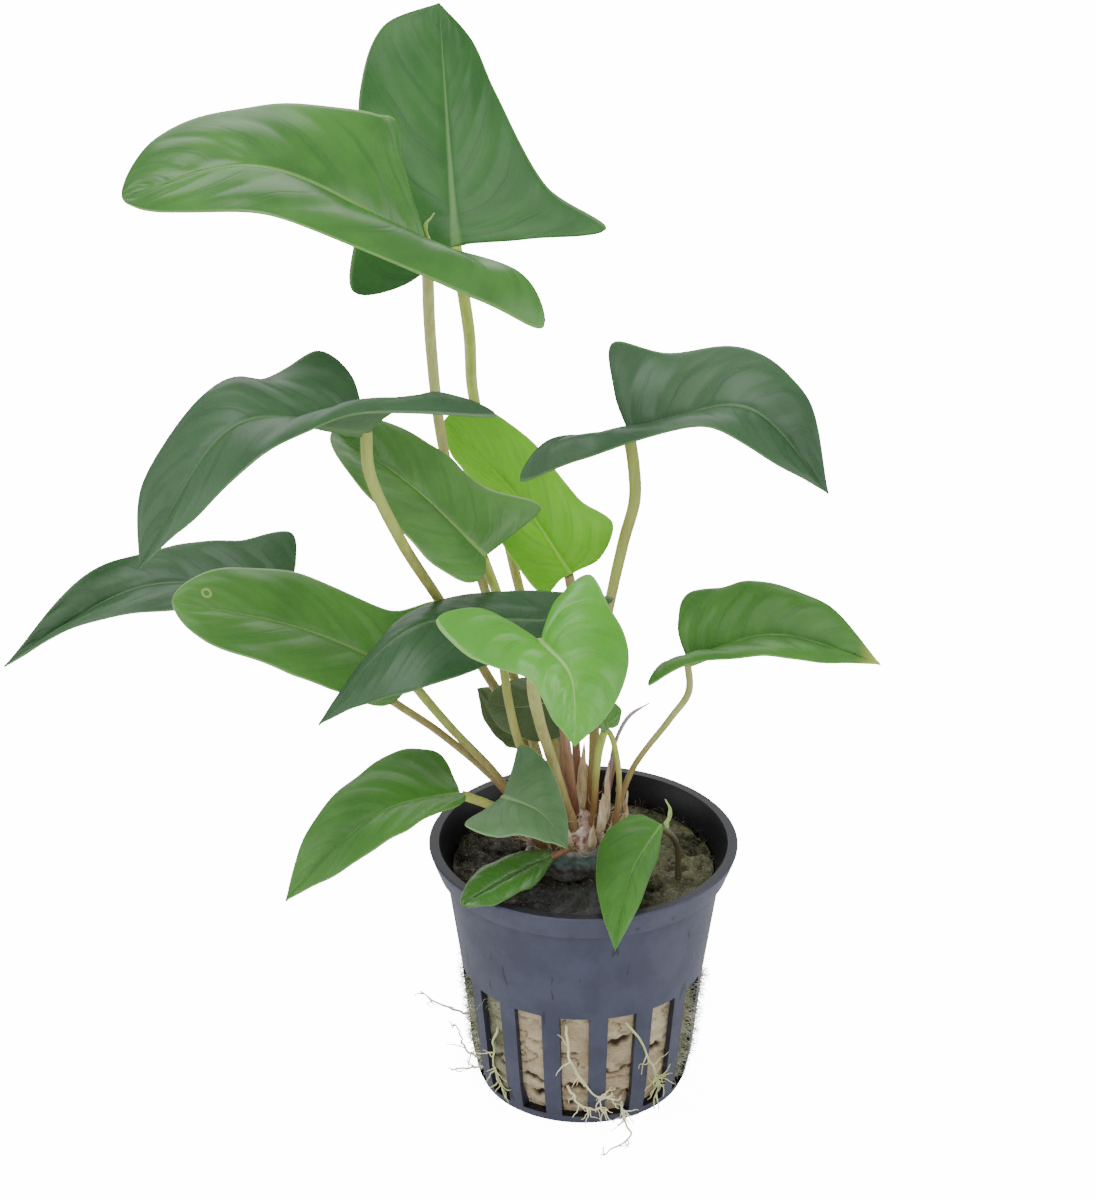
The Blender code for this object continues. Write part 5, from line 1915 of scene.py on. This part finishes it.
@dataclass(frozen=True)
class Roots:
    """The roots that have grown out through the slots, with their side roots."""

    effects: Effects
    growth: Growth
    pot: NetPot
    radius: float = 0.235
    kink: float = 0.16
    clear: float = 0.35
    side_steps: int = 16
    seed: int = 11

    def build(self) -> list:
        """Builds every root with its side roots.

        Returns:
            The pieces.
        """
        skins = {skin: self.dress(f"root_{skin.name.lower()}", *skin.value) for skin in Skin}
        draw = np.random.default_rng(self.seed)
        pieces = []
        for root in ROOTS:
            route = [round_axis(self.pot.outside(height) + out, math.radians(degrees), height)
                     for degrees, height, out in root.spots]
            places = evenly(np.array(route), ROOT_STEPS)
            kinks = np.array([draw.normal(0, self.kink, 3) for _ in range(12)])
            places[3:] += smooth(kinks, 4)
            places[:, 2] = np.maximum(places[:, 2], self.radius + 0.05)
            strands = [(places, self.radius * np.linspace(1.0, 0.55, ROOT_STEPS))]
            strands += self.side_roots(draw, places, root.sides)
            first, last, count = root.crowd
            strands += self.side_roots(draw, places[first:last], count)
            source = threads(f"thread_{root.name}", strands)
            piece = self.growth.run(f"grown_root_{root.name}", source, self.growth.tubes, Sides=8,
                                    Bumps=0.00012, Bump_Scale=1500.0, Material=skins[root.skin])
            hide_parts(f"root_{root.name}")
            pieces.append(piece)
        return pieces

    def side_roots(self, draw: np.random.Generator, places: Array, count: int) -> list:
        """Grows short curling side roots off a root.

        Args:
            draw: The source of random numbers.
            places: The root's places.
            count: How many grow.

        Returns:
            Strands of places and radii.
        """
        strands = []
        for _ in range(count):
            start = int(draw.integers(len(places) // 5, len(places) - 1))
            spot = places[start]
            ahead = unit(places[min(start + 1, len(places) - 1)] - places[start - 1])
            outward = unit(np.array([spot[0], spot[1], 0.0]))
            heading = unit(0.5 * ahead + draw.normal(0, 0.8, 3) + 0.35 * outward)
            run = [spot]
            for _ in range(5):
                heading = unit(heading + draw.normal(0, 0.45, 3) + np.array([0, 0, -0.12]))
                step = run[-1] + heading * draw.uniform(0.4, 1.0)
                wall = self.pot.outside(max(step[2], 2.5)) + self.clear
                flat = math.hypot(step[0], step[1])
                if flat < wall:
                    step[:2] *= wall / flat
                step[2] = max(step[2], 0.25)
                run.append(step)
            radii = self.radius * np.linspace(0.6, 0.25, self.side_steps)
            strands.append((evenly(np.array(run), self.side_steps), radii))
        return strands

    def dress(self, name: str, dull: Colour, bright: Colour) -> Material:
        """Makes a root's pale skin.

        Args:
            name: The material's name.
            dull: Its darker colour.
            bright: Its paler colour.

        Returns:
            The material.
        """
        finish = Finish(self.effects, name, Subsurface_Weight=0.15, Subsurface_Scale=0.001)
        w = finish.w
        blotches, grain = finish.mottle(350.0, 2500.0)
        return finish.close(w.blend(blotches, dull, bright), w.plus(0.4, w.times(grain, 0.2)))


# Studio

@dataclass(frozen=True)
class Panel:
    """A soft square light: its place and its side in metres, and its power in watts."""

    name: str
    place: Place
    side: float
    power: float


@dataclass(frozen=True)
class Studio:
    """Floor, soft light and the camera at the photograph's angle."""

    camera_place: Place = (-6.3, -520.6, 349.8)
    down: float = 64.0
    lens: float = 101.07
    floor_size: float = 24000.0
    floor_drop: float = 0.2
    floor_glow: float = 14.0
    air: float = 0.52
    aim: Place = (0.0, 0.0, 0.09)
    panels: tuple = (Panel("key_panel", (-0.2, -0.35, 1.25), 0.75, 9.0),
                     Panel("back_panel", (-0.1, 0.95, 0.8), 1.0, 5.5),
                     Panel("left_panel", (-1.0, -0.1, 0.5), 0.7, 3.5),
                     Panel("right_panel", (1.0, -0.15, 0.5), 0.7, 3.5),
                     Panel("front_panel", (0.1, -1.2, 0.75), 0.9, 5.0))

    def build(self) -> None:
        """Sets up everything round the part."""
        self.floor()
        self.camera()
        for panel in self.panels:
            self.light(panel)
        world = bpy.data.worlds.new("studio_air")
        world.use_nodes = True
        air = world.node_tree.nodes["Background"]
        air.inputs[0].default_value = (1.0, 1.0, 1.0, 1.0)
        air.inputs[1].default_value = self.air
        bpy.context.scene.world = world

    def camera(self) -> None:
        """Places the camera."""
        lens = bpy.data.cameras.new("photo_camera")
        lens.lens = self.lens
        lens.sensor_width = 36.0
        lens.clip_end = 50.0
        holder = place_object("photo_camera", lens)
        holder.location = Vector(self.camera_place) * MM
        holder.rotation_euler = Euler((math.radians(self.down), 0.0, 0.0))
        bpy.context.scene.camera = holder

    def floor(self) -> None:
        """Lays the pale floor, which looks brighter to the camera than it lights the plant."""
        half = self.floor_size / 2
        corners = [(x * half, y * half, -self.floor_drop) for x, y in ((-1, -1), (1, -1), (1, 1), (-1, 1))]
        finish = Finish(None, "studio_floor", Roughness=0.6, Specular_IOR_Level=0.2,
                        Base_Color=(0.9, 0.9, 0.9, 1.0), Emission_Color=(1.0, 1.0, 1.0, 1.0))
        seen = finish.w.add("ShaderNodeLightPath").outputs["Is Camera Ray"]
        finish.w.feed(finish.shader.inputs["Emission Strength"], finish.w.times(seen, self.floor_glow))
        floor = mesh_piece("studio_floor", np.array(corners), [(0, 1, 2, 3)], finish.material)

    def light(self, panel: Panel) -> None:
        """Hangs a soft square panel.

        Args:
            panel: The panel.
        """
        light = bpy.data.lights.new(panel.name, "AREA")
        light.shape = "SQUARE"
        light.size = panel.side
        light.energy = panel.power
        holder = place_object(panel.name, light)
        holder.location = panel.place
        toward = Vector(self.aim) - Vector(panel.place)
        holder.rotation_euler = toward.to_track_quat("-Z", "Y").to_euler()


def main() -> None:
    """Builds the studio and every piece of the plant, and reports each piece."""
    logging.basicConfig(level=logging.INFO, format="%(name)s: %(message)s")
    Studio().build()
    effects = Effects(vein_group(), mottle_group())
    growth = Growth(tube_tree(), fibre_tree(), perforation_tree())
    pot = NetPot(effects, growth)
    rhizome = Rhizome(effects)
    pieces = [pot.build(), rhizome.build(), *Rockwool(effects, growth, pot).build()]
    pieces += [Blade(leaf, effects).build() for leaf in LEAVES]
    pieces += Stems(effects, growth, rhizome).build()
    pieces += Crown(effects, growth, rhizome).build()
    pieces += Roots(effects, growth, pot).build()
    for piece in pieces:
        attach(piece, BODY)
        log.info("%s: %d faces", piece.name, len(piece.data.polygons))


if __name__ == "__main__":
    main()
